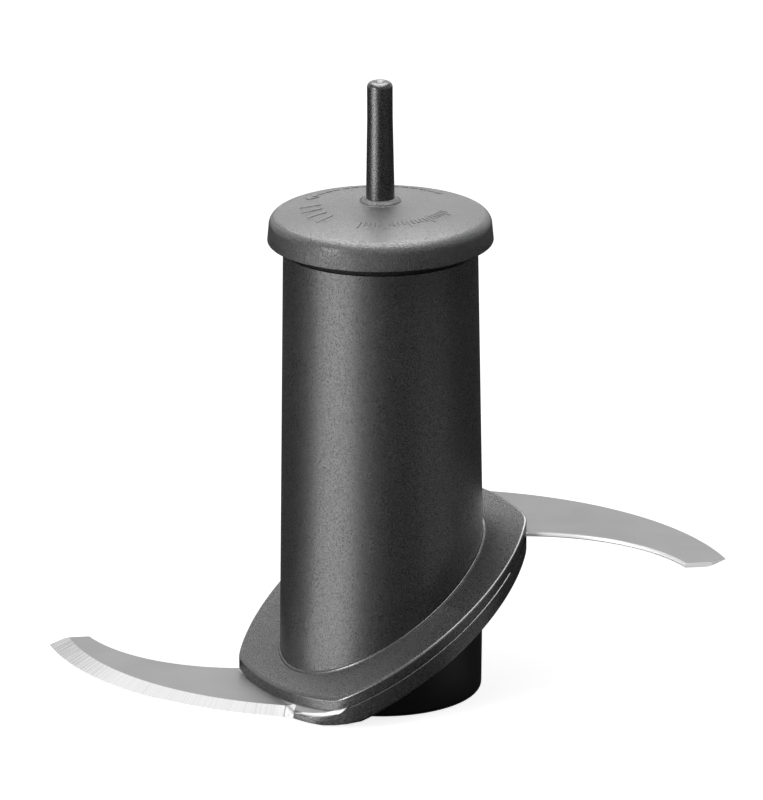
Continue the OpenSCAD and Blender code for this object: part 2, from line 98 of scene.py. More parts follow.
class Value:
    """One shader value. Arithmetic on it adds the Math nodes that work it out."""

    def __init__(self, graph: "Graph", socket: bpy.types.NodeSocket) -> None:
        """Wrap a socket of a graph."""
        self.graph = graph
        self.socket = socket

    def output(self, name: str) -> "Value":
        """Another output of the node that gives this value."""
        return Value(self.graph, self.socket.node.outputs[name])

    def math(self, operation: str, *others: "Value | float") -> "Value":
        """This value and others through one Math node."""
        return self.graph.calc(operation, self, *others)

    def __add__(self, other: "Value | float") -> "Value":
        """Sum."""
        return self.math("ADD", other)

    def __radd__(self, other: float) -> "Value":
        """Sum with a number in front."""
        return self.math("ADD", other)

    def __sub__(self, other: "Value | float") -> "Value":
        """Difference."""
        return self.math("SUBTRACT", other)

    def __rsub__(self, other: float) -> "Value":
        """Difference from a number."""
        return self.graph.calc("SUBTRACT", other, self)

    def __mul__(self, other: "Value | float") -> "Value":
        """Product."""
        return self.math("MULTIPLY", other)

    def __rmul__(self, other: float) -> "Value":
        """Product with a number in front."""
        return self.math("MULTIPLY", other)

    def __truediv__(self, other: "Value | float") -> "Value":
        """Quotient."""
        return self.math("DIVIDE", other)

    def __rtruediv__(self, other: float) -> "Value":
        """A number divided by this value."""
        return self.graph.calc("DIVIDE", other, self)

    def ramp(self, low: float, high: float) -> "Value":
        """Smooth step of this value.

        Args:
            low: value at which the step starts at 0.
            high: value at which the step reaches 1.

        Returns:
            A value from 0 to 1.
        """
        return self.graph.add("ShaderNodeMapRange", {"interpolation_type": "SMOOTHSTEP"},
                              {"Value": self, "From Min": low, "From Max": high})


class Graph:
    """Node tree of one material or of the world."""

    def __init__(self, owner: bpy.types.Material | bpy.types.World) -> None:
        """Start with an empty tree on the owner."""
        owner.use_nodes = True
        self.tree = owner.node_tree
        self.tree.nodes.clear()

    def add(self, kind: str, settings: Mapping[str, object] | None = None,
            inputs: Mapping[str | int, object] | None = None, output: str | int = 0) -> Value:
        """Add any node.

        Args:
            kind: the node's type.
            settings: attributes, which are set first.
            inputs: values or links of its sockets, by name or place.
            output: name or place of the output that is returned.

        Returns:
            The value at that output.
        """
        node = self.tree.nodes.new(kind)
        for name, setting in (settings or {}).items():
            setattr(node, name, setting)
        for key, value in (inputs or {}).items():
            if isinstance(value, Value):
                self.tree.links.new(value.socket, node.inputs[key])
            else:
                node.inputs[key].default_value = value
        return Value(self, node.outputs[output])

    def calc(self, operation: str, *values: Value | float) -> Value:
        """One Math node on values or numbers."""
        return self.add("ShaderNodeMath", {"operation": operation}, dict(enumerate(values)))

    def place(self) -> Value:
        """Object coordinates, in metres."""
        return self.add("ShaderNodeTexCoord", output="Object")

    def noise(self, place: Value, size_mm: float, detail: float = 2.0, rough: float = 0.5) -> Value:
        """Noise whose grains measure about size_mm, from 0 to 1."""
        return self.cells(place, 1 / (size_mm * MM), detail, rough)

    def cells(self, place: Value, scale: float, detail: float, rough: float = 0.5) -> Value:
        """Noise over any coordinates, from 0 to 1."""
        return self.add("ShaderNodeTexNoise", {},
                        {"Vector": place, "Scale": scale, "Detail": detail, "Roughness": rough})

    def blend(self, factor: Value, first: Colour | Value, second: Colour | Value) -> Value:
        """Mix of two colours by a factor."""
        ends = [(*c, 1) if isinstance(c, tuple) else c for c in (first, second)]
        return self.add("ShaderNodeMix", {"data_type": "RGBA"}, {0: factor, 6: ends[0], 7: ends[1]}, 2)

    def bump(self, height: Value, depth_mm: float) -> Value:
        """Normal bent by a height that runs from 0 to 1 over depth_mm."""
        return self.add("ShaderNodeBump", {}, {"Height": height, "Distance": depth_mm * MM})

    def white_rays(self) -> Value:
        """Mark the rays that show the background: seen, mirrored or let through.

        Returns:
            1 for such a ray and 0 for any other.
        """
        path = self.add("ShaderNodeLightPath", output="Is Camera Ray")
        mirrored, through = path.output("Is Glossy Ray"), path.output("Is Transmission Ray")
        return path.math("MAXIMUM", mirrored).math("MAXIMUM", through)

    def close(self, kind: str, shader: Value) -> None:
        """Link a shader to the tree's output, a node of this kind."""
        node = self.tree.nodes.new(kind)
        self.tree.links.new(shader.socket, node.inputs["Surface"])


# Finishes


def grey(level: float) -> Colour:
    """A neutral colour."""
    return (level, level, level)


@dataclass(frozen=True)
class Finish:
    """A material with one Principled surface; each kind of finish says what feeds it."""

    name: str

    def feed(self, g: Graph) -> dict[str, object]:
        """Say what feeds the surface: numbers, colours and values.

        Args:
            g: the material's node tree.

        Returns:
            The surface's inputs, by name.
        """
        raise NotImplementedError

    def material(self) -> bpy.types.Material:
        """Make the finish a material.

        Returns:
            The material.
        """
        material = bpy.data.materials.new(self.name)
        g = Graph(material)
        g.close("ShaderNodeOutputMaterial", g.add("ShaderNodeBsdfPrincipled", {}, self.feed(g)))
        return material


@dataclass(frozen=True)
class MouldedPlastic(Finish):
    """Plastic from a spark-eroded mould: fine grain, faint clouds and a few rubbed marks."""

    colour: Colour
    roughness: float
    shine: float
    grain_depth_mm: float = 0.26
    gleam: float = 0.7
    gleam_range: Pair = (0.3, 0.72)
    grain_mm: float = 0.3
    grain_range: Pair = (0.35, 0.68)
    grain_swing: float = 0.3
    cloud_mm: float = 14.0
    cloud_range: Pair = (0.3, 0.7)
    cloud_share: float = 0.35
    cloud_swing: float = 0.06
    rub_mm: float = 2.4
    rub_range: Pair = (0.58, 0.75)
    rub_share: float = 0.25
    dark: float = 0.6
    pale: float = 2.2
    pale_more: float = 0.007

    def feed(self, g: Graph) -> dict[str, object]:
        """Speckle the colour with the grain, whose peaks gleam under a thin coat.

        Args:
            g: the material's node tree.

        Returns:
            The surface's inputs, by name.
        """
        place = g.place()
        grain = g.noise(place, self.grain_mm, 3.0, 0.6)
        clouds = g.noise(place, self.cloud_mm)
        rubbed = g.noise(place, self.rub_mm, 4.0, 0.7).ramp(*self.rub_range) * self.rub_share
        pale = tuple(self.pale * c + self.pale_more for c in self.colour)
        dark = tuple(self.dark * c for c in self.colour)
        roughness = self.roughness + self.grain_swing * (grain - 0.5) + self.cloud_swing * (clouds - 0.5)
        speckled = g.blend(grain.ramp(*self.grain_range), dark, pale)
        clouded = g.blend(clouds.ramp(*self.cloud_range) * self.cloud_share, speckled, self.colour)
        return {
            "Base Color": g.blend(rubbed, clouded, pale),
            "Roughness": roughness,
            "Specular IOR Level": self.shine * (1 - 0.5 * self.gleam),
            "Coat Weight": grain.ramp(*self.gleam_range) * self.gleam,
            "Coat Roughness": self.roughness,
            "Normal": g.bump(grain, self.grain_depth_mm),
        }


@dataclass(frozen=True)
class SmoothPlastic(Finish):
    """Plain moulded plastic or rubber with faint clouds."""

    colour: Colour
    roughness: float
    shine: float = 0.4
    cloud_mm: float = 6.0
    cloud_depth_mm: float = 0.02
    dull: float = 0.82
    swing: float = 0.08

    def feed(self, g: Graph) -> dict[str, object]:
        """Dull the colour and change the roughness a little from cloud to cloud.

        Args:
            g: the material's node tree.

        Returns:
            The surface's inputs, by name.
        """
        clouds = g.noise(g.place(), self.cloud_mm, 3.0)
        return {
            "Base Color": g.blend(clouds, tuple(self.dull * c for c in self.colour), self.colour),
            "Roughness": self.roughness + self.swing * (clouds - 0.5),
            "Specular IOR Level": self.shine,
            "Normal": g.bump(clouds, self.cloud_depth_mm),
        }


@dataclass(frozen=True)
class Steel(Finish):
    """Steel whose lines change its colour and roughness and stand up a little."""

    colour: float
    roughness: float
    line_mm: float
    line_depth_mm: float = 0.004
    swing: float = 0.1
    metallic: float = 1.0
    tones: Pair = (0.9, 1.1)

    def lined(self, g: Graph, lines: Value, tone: Value) -> dict[str, object]:
        """Inputs of a steel surface.

        Args:
            g: the material's node tree.
            lines: height of the lines, from 0 to 1.
            tone: where the colour lies between its darkest and its palest.

        Returns:
            The surface's inputs.
        """
        dark, pale = (grey(share * self.colour) for share in self.tones)
        return {
            "Base Color": g.blend(tone, dark, pale),
            "Metallic": self.metallic,
            "Roughness": self.roughness + self.swing * (lines - 0.5),
            "Normal": g.bump(lines, self.line_depth_mm),
        }


@dataclass(frozen=True)
class RolledSteel(Steel):
    """Satin face of the plate: fine rolling lines along X with faint clouds."""

    length_mm: float = 9.0
    line_range: Pair = (0.25, 0.75)
    cloud_mm: float = 16.0
    cloud_range: Pair = (0.3, 0.7)

    def feed(self, g: Graph) -> dict[str, object]:
        """Stretch a noise along X, and mix its lines evenly with clouds.

        Args:
            g: the material's node tree.

        Returns:
            The surface's inputs, by name.
        """
        place = g.place()
        across = 1 / (self.line_mm * MM)
        stretched = g.add("ShaderNodeMapping", {}, {
            "Vector": place, "Scale": (1 / (self.length_mm * MM), across, across)})
        lines = g.cells(stretched, 1.0, 3.0)
        clouds = g.noise(place, self.cloud_mm)
        tone = lines.ramp(*self.line_range) * 0.5 + clouds.ramp(*self.cloud_range) * 0.5
        return self.lined(g, lines, tone)


@dataclass(frozen=True)
class GroundSteel(Steel):
    """Ground bevel: bright, its pale colour the steel's own tone raised by a painted reflection of a bright
    overhead light, with fine straight grinding lines across it, darker towards the point.

    The lines fan out from a far point, so the pattern follows the angle round that point; both
    wings share it, each about its own. A dark line marks where the wheel was set down.
    """

    tones: Pair = (0.3, 1.0)
    centre_mm: Pair = (-13.0, 75.0)
    radius_mm: float = 98.0
    length_mm: float = 40.0
    streak_range: Pair = (0.4, 0.58)
    streak_share: Pair = (0.07, 0.78)
    patch_scale: float = 0.3
    patch_range: Pair = (0.55, 0.75)
    patch_share: Pair = (0.06, 0.3)
    pointward_deg: Pair = (42.0, 62.0)
    stop_deg: float = 85.5
    stop_half_deg: float = 0.06
    stop_shade: float = 0.35

    def feed(self, g: Graph) -> dict[str, object]:
        """Darken the streaks, the end towards the point and the line where the wheel stopped.

        Args:
            g: the material's node tree.

        Returns:
            The surface's inputs, by name.
        """
        xyz = g.add("ShaderNodeSeparateXYZ", {}, {"Vector": g.place()})
        x, y = xyz.output("X"), xyz.output("Y")
        # The lower wing lies where x is below zero; the upper one is the same, turned half round.
        side = x.math("SIGN")
        across = x * side + self.centre_mm[0] * MM
        along = y * side + self.centre_mm[1] * MM
        turn = along.math("ARCTAN2", across)
        reach = (across * across + along * along).math("SQRT")
        arc = turn * (self.radius_mm / self.line_mm)
        fan = g.add("ShaderNodeCombineXYZ", {}, {"X": arc, "Y": reach / (self.length_mm * MM), "Z": side})
        lines = g.cells(fan, 1.0, 3.0, 0.6)
        broad = g.cells(fan, self.patch_scale, 1.0)
        # The tone falls towards the point, where streaks and patches also grow.
        pointward = 1 - turn.ramp(*(math.radians(a) for a in self.pointward_deg))
        streaks = (1 - lines.ramp(*self.streak_range)) * (self.streak_share[0] + self.streak_share[1] * pointward)
        patches = broad.ramp(*self.patch_range) * self.patch_share[0] + self.patch_share[1] * pointward
        half = math.radians(self.stop_half_deg)
        stop = (turn - math.radians(self.stop_deg)).math("ABSOLUTE").ramp(half, 2 * half)
        tone = (1 - streaks) * (1 - patches) * (self.stop_shade + (1 - self.stop_shade) * stop)
        return self.lined(g, lines, tone)


@dataclass(frozen=True)
class TurnedSteel(Steel):
    """Steel of studs, socket and ring: turned rings round the hub axis."""

    tones: Pair = (0.85, 1.1)
    ring_scale: float = 0.314

    def feed(self, g: Graph) -> dict[str, object]:
        """Rings about one line apart.

        Args:
            g: the material's node tree.

        Returns:
            The surface's inputs, by name.
        """
        scale = self.ring_scale / (self.line_mm * MM)
        shade = g.add("ShaderNodeTexWave", {"wave_type": "RINGS", "rings_direction": "Z"}, {
            "Vector": g.place(), "Scale": scale, "Distortion": 1.5, "Detail": 2.0}, "Fac")
        return self.lined(g, shade, shade)


@dataclass(frozen=True)
class CardGlow(Finish):
    """Dark card with an even white glow."""

    glow: float
    colour: float = 0.01

    def feed(self, g: Graph) -> dict[str, object]:
        """A matt surface that gives off white light.

        Args:
            g: the material's node tree.

        Returns:
            The surface's inputs, by name.
        """
        return {"Base Color": (*grey(self.colour), 1), "Roughness": MATT, "Specular IOR Level": 0.0,
                "Emission Color": WHITE, "Emission Strength": self.glow}


@dataclass(frozen=True)
class FloorPaper(Finish):
    """Pale paper with faint fibres, which glows for the rays that show the background."""

    colour: float = 0.86
    glow: float = 0.8
    fibre_mm: float = 3.0
    fibre: float = 0.99

    def feed(self, g: Graph) -> dict[str, object]:
        """A matt surface whose glow only the background's rays see.

        Args:
            g: the material's node tree.

        Returns:
            The surface's inputs, by name.
        """
        fibres = g.noise(g.place(), self.fibre_mm, 3.0)
        return {"Base Color": g.blend(fibres, grey(self.fibre * self.colour), grey(self.colour)),
                "Roughness": MATT, "Specular IOR Level": 0.0,
                "Emission Color": WHITE, "Emission Strength": self.glow * g.white_rays()}


# Mesh tools


def put_mesh(name: str, points: np.ndarray, faces: Sequence[Sequence[int]], crease_deg: float = 32.0,
             finishes: np.ndarray | None = None) -> bpy.types.Object:
    """Make an object of points and faces.

    Args:
        name: the object's name.
        points: n x 3 array in millimetres.
        faces: lists of point numbers, outward.
        crease_deg: edges sharper than this stay crisp.
        finishes: material slot of each face, or None.

    Returns:
        The object, at the origin, with its place in its mesh.
    """
    mesh = bpy.data.meshes.new(name)
    mesh.from_pydata((points * MM).tolist(), [], [list(f) for f in faces])
    mesh.polygons.foreach_set("use_smooth", np.ones(len(mesh.polygons), bool))
    if finishes is not None:
        mesh.polygons.foreach_set("material_index", np.asarray(finishes, np.int32))
    work = bmesh.new()
    work.from_mesh(mesh)
    bmesh.ops.remove_doubles(work, verts=work.verts, dist=SAME_POINT_M)
    bmesh.ops.dissolve_degenerate(work, edges=work.edges, dist=NO_LENGTH_M)
    work.to_mesh(mesh)
    work.free()
    mesh.set_sharp_from_angle(angle=math.radians(crease_deg))
    mesh.validate()
    made = bpy.data.objects.new(name, mesh)
    bpy.context.scene.collection.objects.link(made)
    return made


def grid_faces(rows: int, columns: int, close_rows: bool, close_columns: bool) -> np.ndarray:
    """Quads of a grid of rows x columns points.

    Args:
        rows: number of rows.
        columns: points in a row.
        close_rows: the last row meets the first.
        close_columns: each row is a ring.

    Returns:
        n x 4 array of point numbers.
    """
    r = np.arange(rows if close_rows else rows - 1)[:, None]
    c = np.arange(columns if close_columns else columns - 1)[None, :]
    r2, c2 = (r + 1) % rows, (c + 1) % columns
    quads = np.stack([r * columns + c, r * columns + c2, r2 * columns + c2, r2 * columns + c], -1)
    return quads.reshape(-1, 4)


def lathe(name: str, profile: np.ndarray, steps: int, crease_deg: float) -> bpy.types.Object:
    """Turn a profile round the hub axis.

    Point (i, j) lies at the profile's radius r and height z, at angle 2 pi i / steps:
    (r cos, r sin, z). The profile runs outward and upward from its lowest point on the
    axis, so that faces point outwards; ends on the axis close as poles.

    Args:
        name: the object's name.
        profile: n x 2 array of radius and height in millimetres.
        steps: points round the axis.
        crease_deg: edges sharper than this stay crisp.

    Returns:
        The object.
    """
    turn = np.linspace(0, 2 * np.pi, steps, endpoint=False)[None, :]
    r, z = profile[:, :1], profile[:, 1:]
    points = np.stack(np.broadcast_arrays(r * np.cos(turn), r * np.sin(turn), z), -1).reshape(-1, 3)
    return put_mesh(name, points, grid_faces(len(profile), steps, False, True), crease_deg)


def heading(deg: float) -> np.ndarray:
    """Unit vector in the plane at an angle in degrees from +X."""
    return np.array([math.cos(math.radians(deg)), math.sin(math.radians(deg))])


def bow(centre: Pair, radius: float, start: float, end: float, steps: int) -> np.ndarray:
    """Points of an arc in the plane: centre + radius (cos, sin), start and end in degrees."""
    turn = np.radians(np.linspace(start, end, steps + 1))
    return np.stack([centre[0] + radius * np.cos(turn), centre[1] + radius * np.sin(turn)], -1)


def dress(made: bpy.types.Object, slot: Slot, *materials: bpy.types.Material, replaces: str = "") -> None:
    """Give a new piece its materials and body, hide the CAD node that it stands for, and log its slot.

    Args:
        made: the piece.
        slot: its material slot in the record.
        materials: its finishes, in the order of its mesh's slots.
        replaces: the CAD node, or nothing for a piece that the CAD doesn't have.
    """
    for material in materials:
        made.data.materials.append(material)
    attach(made, "root")
    if replaces:
        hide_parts(replaces)
    LOG.info("%s: %d faces, slot %s", made.name, len(made.data.polygons), slot.value)


def paint(node: str, material: bpy.types.Material) -> None:
    """Give a CAD node that stays its material.

    Args:
        node: the CAD node's name.
        material: its finish.
    """
    kept = frame["nodes"][node]
    if kept.data.materials:
        for i in range(len(kept.data.materials)):
            kept.data.materials[i] = material
    else:
        kept.data.materials.append(material)
    LOG.info("%s: CAD node kept, %s", node, material.name)


# Shared sizes


@dataclass(frozen=True)
class Taper:
    """Drafted wall round the hub axis: its radius falls or grows evenly with height."""

    floor_r: float
    draft_deg: float

    def tilted(self, z0: np.ndarray, slope: np.ndarray, gap: np.ndarray) -> np.ndarray:
        """Radius at which a tilted plane meets the wall.

        With r = R - k z + gap and z = z0 + slope r, r = (R - k z0 + gap) / (1 + k slope).
        """
        k = np.tan(np.radians(self.draft_deg))
        return (self.floor_r - k * z0 + gap) / (1 + k * slope)


TOWER = Taper(21.863, 0.86)
FOOT = Taper(21.003, -0.8)


@dataclass(frozen=True)
class CollarOutline:
    """The collar seen from above: round ends and two slightly bowed flat sides."""

    tilt_az: float = 28.5
    slope: float = math.tan(math.radians(33.7))
    end_r: float = 30.913
    flat_u: float = 26.263
    bow_r: float = 88.0
    skew: float = 4.6
    soft: float = 0.4

    def radius(self, turn: np.ndarray) -> np.ndarray:
        """Distance from the hub axis in directions counted from the climbing direction.

        Each side is the reach to a circle round c: b + sqrt(b^2 - |c|^2 + r^2) with b = c . direction.
        The three reaches join by a soft minimum, -k log(sum exp(-r / k)), which rounds the corners.

        Args:
            turn: directions in radians.

        Returns:
            Distances in millimetres.
        """
        far = self.bow_r - self.flat_u
        reaches = [np.full_like(turn, self.end_r)]
        for side in (-1, 1):
            b = side * (far * np.cos(turn) + self.skew * np.sin(turn))
            reaches.append(b + np.sqrt(b * b - far ** 2 - self.skew ** 2 + self.bow_r ** 2))
        lowest = np.min(reaches, axis=0)
        spread = sum(np.exp((lowest - r) / self.soft) for r in reaches)
        return lowest - self.soft * np.log(spread)

    def at(self, azimuth: np.ndarray, inset: float) -> np.ndarray:
        """Plan points of the outline at azimuths.

        Args:
            azimuth: directions from +X in degrees.
            inset: how far inside the outline the points lie.

        Returns:
            n x 2 array.
        """
        turn = np.radians(azimuth)
        r = self.radius(turn - math.radians(self.tilt_az)) - inset
        return np.stack([r * np.cos(turn), r * np.sin(turn)], -1)


OUTLINE = CollarOutline()


# Collar


@dataclass
class ClampCollar:
    """One half of the tilted collar that clamps the plate round the hub."""

    half: Half
    outline: CollarOutline = OUTLINE
    plate_top: float = 19.35
    plate_low: float = 18.147
    top: float = 22.05
    low: float = 14.65
    rim: float = 0.55
    low_rim: float = 0.9
    seam: float = 0.2
    seat: float = 0.05
    lip_w: float = 0.3
    lip_h: float = 0.45
    lip_round: float = 0.2
    wall_gap: float = 0.04
    floor_gap: float = 1.0
    open_from: float = 151.0
    open_turn: float = 99.0
    open_fade: float = 7.0
    open_step: float = 0.6
    apron_az: tuple[float, ...] = (230.5, 231.5, 235.0, 240.0, 245.0, 250.0, 254.0)
    apron_r: tuple[float, ...] = (27.0, 30.05, 30.35, 30.65, 30.75, 30.75, 30.8)
    apron_drop: tuple[float, ...] = (-0.05, -0.05, -0.1, -0.2, 0.15, 0.6, 0.6)
    apron_w: float = 0.6
    apron_fade: float = 0.3
    wing_top: float = 2.0
    keel_az: tuple[float, ...] = (246.0, 251.0, 256.0, 260.0, 264.0)
    keel_z: tuple[float, ...] = (1.0, 1.35, 1.9, 2.5, 2.8)
    steps: int = 720
    round_steps: int = 10
    lip_steps: int = 5
    lip_foot: float = 0.3
    crease_deg: float = 20.0

    @staticmethod
    def _stretch(points: Sequence[Sequence[float]] | np.ndarray, outside: bool,
                 polished: bool = False) -> np.ndarray:
        """Give profile points their two marks.

        Args:
            points: offsets and heights.
            outside: they follow the outline, not the wall inside the collar.
            polished: the band after each point but the last is polished.

        Returns:
            n x 4 array of offset, height and the two marks.
        """
        marks = np.full((len(points), 2), [outside, polished], float)
        marks[-1, 1] = 0
        return np.hstack([np.asarray(points, float), marks])

    def _upper(self) -> np.ndarray:
        """Profile of the upper half: from the seam up over the rim and the lip to the inner wall.

        Returns:
            n x 4 array of offset, height and marks.
        """
        seat, lip, c = self.plate_top + self.seat, self.top + self.lip_h, self.lip_round
        foot = self.lip_foot * c
        rim = bow((-self.rim, self.top - self.rim), self.rim, 0, 90, self.round_steps)
        return np.concatenate([
            self._stretch([[-self.seam, seat], [0, seat + self.seam]], True, True),
            self._stretch(rim, True, True),
            self._stretch([[self.lip_w + c, self.top], [self.lip_w + foot, self.top + foot]], False),
            self._stretch(bow((self.lip_w - c, lip - c), c, 0, 90, self.lip_steps), False, True),
            self._stretch([[self.wall_gap, lip], [self.wall_gap, seat]], False)])

    def _lower(self) -> np.ndarray:
        """Profile of the lower half, from its inner wall's foot outwards and up.

        Returns:
            n x 4 array of offset, height and marks.
        """
        rim = bow((-self.low_rim, self.low + self.low_rim), self.low_rim, -90, 0, self.round_steps)
        return np.concatenate([
            self._stretch(rim, True),
            self._stretch([[0, self.plate_top - self.seam], [-self.seam, self.plate_top]], True, True),
            self._stretch([[-self.apron_w, self.plate_top]], True),
            self._stretch([[self.wall_gap, self.plate_top], [self.wall_gap, self.low]], False)])

    def build(self) -> bpy.types.Object:
        """Carry the half's profile round the outline.

        At angle a from the climbing direction a point has radius r, the outline's reach or the
        radius of the wall inside it plus its offset, and height z0 + slope r cos(a), as the whole
        collar lies in tilted planes. The lower half leaves room for the plate's open shoulders
        and stays above the bowl's floor; beside the lower wing it swells to an apron whose rim
        stands in front of the plate's side, and its keel is rounded off.

        Returns:
            The object.
        """
        upper = self.half is Half.UPPER
        offset, z0, follows, polished = (self._upper() if upper else self._lower()).T
        azimuth = np.linspace(0, 360, self.steps, endpoint=False)
        turn = np.radians(azimuth - self.outline.tilt_az)[None, :]
        climb = self.outline.slope * np.cos(turn)
        rim = (z0 > self.plate_top - 2 * self.seam) & (offset > -self.apron_w) & (follows > 0)
        z0 = np.repeat(z0[:, None], self.steps, 1)
        reach = self.outline.radius(turn)
        swell = np.zeros_like(reach)
        if not upper:
            swell = np.maximum(np.interp(azimuth, self.apron_az, self.apron_r, 0, 0)[None, :] - reach, 0)
            beside = (azimuth - self.open_from) % 180
            closed = np.clip((beside - self.open_turn) / self.open_fade, 0, 1)
            closed = np.where(beside > 180 - self.open_step, 1, closed)
            roof = self.plate_low - self.seat + closed * (self.plate_top - self.plate_low + self.seat)
            z0 = np.minimum(z0, roof[None, :])
        wall = TOWER if upper else FOOT
        r = np.where(follows[:, None] > 0, reach + swell + offset[:, None],
                     wall.tilted(z0, climb, offset[:, None]))
        z = z0 + climb * r
        if not upper:
            z = np.maximum(z, np.interp(azimuth, self.keel_az, self.keel_z, self.floor_gap, self.floor_gap))
            drop = np.interp(azimuth, self.apron_az, self.apron_drop)
            ledge = np.maximum(self.plate_top + climb * r, self.wing_top) - drop
            share = np.clip(swell / self.apron_fade, 0, 1) * rim[:, None]
            z = z + share * np.maximum(ledge - z, 0)
        world = np.radians(azimuth)[None, :]
        points = np.stack([r * np.cos(world), r * np.sin(world), z], -1).reshape(-1, 3)
        faces = grid_faces(len(follows), self.steps, True, True)
        bands = np.repeat(polished, self.steps)
        return put_mesh(self.half.value + "_form", points, faces, self.crease_deg, bands)

    def dress(self, plain: bpy.types.Material, polished: bpy.types.Material) -> None:
        """Build the half and stand it in for its CAD node."""
        dress(self.build(), Slot.HUB, plain, polished, replaces=self.half.value)


# Blade plate


@dataclass
class BladePlate:
    """The S-shaped steel plate: tilted hub part, two level wings, ground edges.

    Plan points belong to the lower wing; the upper wing is the same, turned half round,
    with its bevel on the underside.
    """

    outline: CollarOutline = OUTLINE
    thick: float = 1.0
    mid_z: float = 18.7483
    bend_at: Pair = (-25.86, 24.92)
    bend_soft: float = 0.14
    edge_c: Pair = (-7.4, 42.75)
    edge_r: float = 66.95
    back_c: Pair = (-29.6, 42.9)
    back_r: float = 37.2
    nose: Pair = (-68.7, 25.7)
    point_deg: float = 34.0
    end_deg: float = 8.0
    grind_w: float = 4.5
    land: float = 0.06
    grind_end: float = 99.85
    grind_step: float = 0.06
    bend_steps: tuple[float, ...] = (0.025, 0.075, 0.125, 0.18, 0.25, 0.35, 0.5, 0.7)
    bend_half: float = 40.0
    grid: float = 1.7
    margin: float = 0.25
    hole_r: float = 19.19
    inset: float = 1.6
    flush: float = 0.02
    shoulder: tuple[Pair, ...] = ((-16.9, -23.3), (-14.7, -25.45), (-12.1, -27.6))
    shoulder_start: float = 250.3
    shoulder_end: float = 258.0
    shoulder_fade: float = 253.5
    roll_back: float = 0.3
    roll_edge: float = 0.1
    roll_cut: float = 0.22
    roll_under: float = 0.28
    step: float = 0.8
    root_depth: float = 1.2
    root_az: Pair = (135.0, 22.0)
    roll_share: float = 0.3
    roll_middle: float = 0.3
    back_end_deg: float = -20.0
    fold_end_deg: float = -166.0
    fine_steps: int = 4000
    shoulder_steps: int = 16
    hidden_steps: int = 70
    hole_steps: int = 240
    fold_steps: int = 96
    cut_steps: int = 12
    bend_line_steps: int = 80
    crease_deg: float = 5.5
    steep: float = 60.0
    hole_slack: float = 0.01
    same_point: float = 1e-4
    same_corner: float = 1e-5
    same_deg: float = 1e-6

    @staticmethod
    def _meet(start: Pair, deg: float, centre: Pair, radius: float, forward: bool) -> np.ndarray:
        """Where a line meets a circle.

        Args:
            start: a point of the line.
            deg: the line's direction from +X in degrees.
            centre: the circle's centre.
            radius: the circle's radius.
            forward: the later one of the two crossings is meant.

        Returns:
            The crossing's plan point.
        """
        d = heading(deg)
        w = np.subtract(start, centre)
        b, c = float(w @ d), float(w @ w) - radius ** 2
        root = math.sqrt(b * b - c)
        t = (-b + root) if forward else (-b - root)
        return np.asarray(start) + t * d

    @staticmethod
    def _angle(point: np.ndarray, centre: Pair) -> float:
        """Direction of a point from a centre, in degrees from -360 to 0."""
        return math.degrees(math.atan2(point[1] - centre[1], point[0] - centre[0])) % 360 - 360

    def half_loop(self) -> tuple[np.ndarray, np.ndarray]:
        """Half of the plan outline, anticlockwise, and the edge rounding at each of its points.

        It runs along the back edge from the hub to the wing's end, over the two end cuts, back
        along the cutting edge to the collar, over the stations of the open shoulder to the
        collar's corner, and along the hidden hub part.

        Returns:
            n x 2 array of plan points, and their n roundings.
        """
        tip = self._meet(self.nose, self.point_deg + 180, self.edge_c, self.edge_r, True)
        heel = self._meet(self.nose, self.end_deg, self.back_c, self.back_r, False)
        fold = self._meet(self.nose, self.end_deg, self.edge_c, self.edge_r - self.grind_w, False)
        fine = self.fine_steps
        back = bow(self.back_c, self.back_r, self._angle(heel, self.back_c), self.back_end_deg, fine)
        azimuth = np.degrees(np.arctan2(back[:, 1], back[:, 0]))
        inside = np.hypot(*back.T) < np.hypot(*self.outline.at(azimuth, self.inset).T)
        back = back[:int(np.argmax(inside)) + 1][::-1]
        ground = bow(self.edge_c, self.edge_r, self._angle(tip, self.edge_c), -self.grind_end, fine)
        start = bow(self.edge_c, self.edge_r, self.grind_step - self.grind_end, 0, 1)[0]
        corner = self.outline.at(np.array([self.shoulder_start]), self.flush)[0]
        stations = np.array([start, *self.shoulder, corner])
        edge = np.concatenate([self._line(a, b) for a, b in zip(stations, stations[1:])])
        az_back = math.degrees(math.atan2(back[0, 1], back[0, 0])) % 360
        azimuth = np.linspace(self.shoulder_start, self.shoulder_end, self.shoulder_steps)
        fade = np.clip((azimuth - self.shoulder_fade) / (self.shoulder_end - self.shoulder_fade), 0, 1)
        shoulder = self.outline.at(azimuth, self.flush + self.inset * fade ** 2)
        azimuth = np.linspace(self.shoulder_end, az_back + 180, self.hidden_steps)[1:-1]
        hidden = self.outline.at(azimuth, self.inset)
        nose = np.array(self.nose)
        ends = np.concatenate([self._line(heel, fold), self._line(fold, nose), self._line(nose, tip)])
        parts = [self._spaced(back), ends, self._spaced(ground), edge, shoulder, hidden]
        rolls = (self.roll_back, self.roll_edge, self.roll_edge, self.roll_cut, self.roll_cut, self.roll_edge)
        loop = np.concatenate(parts)
        roll = np.concatenate([np.full(len(p), r) for p, r in zip(parts, rolls)])
        keep = np.hypot(*(loop - np.roll(loop, 1, 0)).T) > self.same_point
        keep[0] = True
        return loop[keep], roll[keep]

    def _line(self, a: np.ndarray, b: np.ndarray) -> np.ndarray:
        """Points of a straight cut, without its last one.

        Args:
            a: its first point.
            b: its last point.

        Returns:
            n x 2 array.
        """
        count = max(2, int(np.hypot(*(b - a)) / self.step))
        share = np.linspace(0, 1, count, endpoint=False)[:, None]
        return a + (b - a) * share

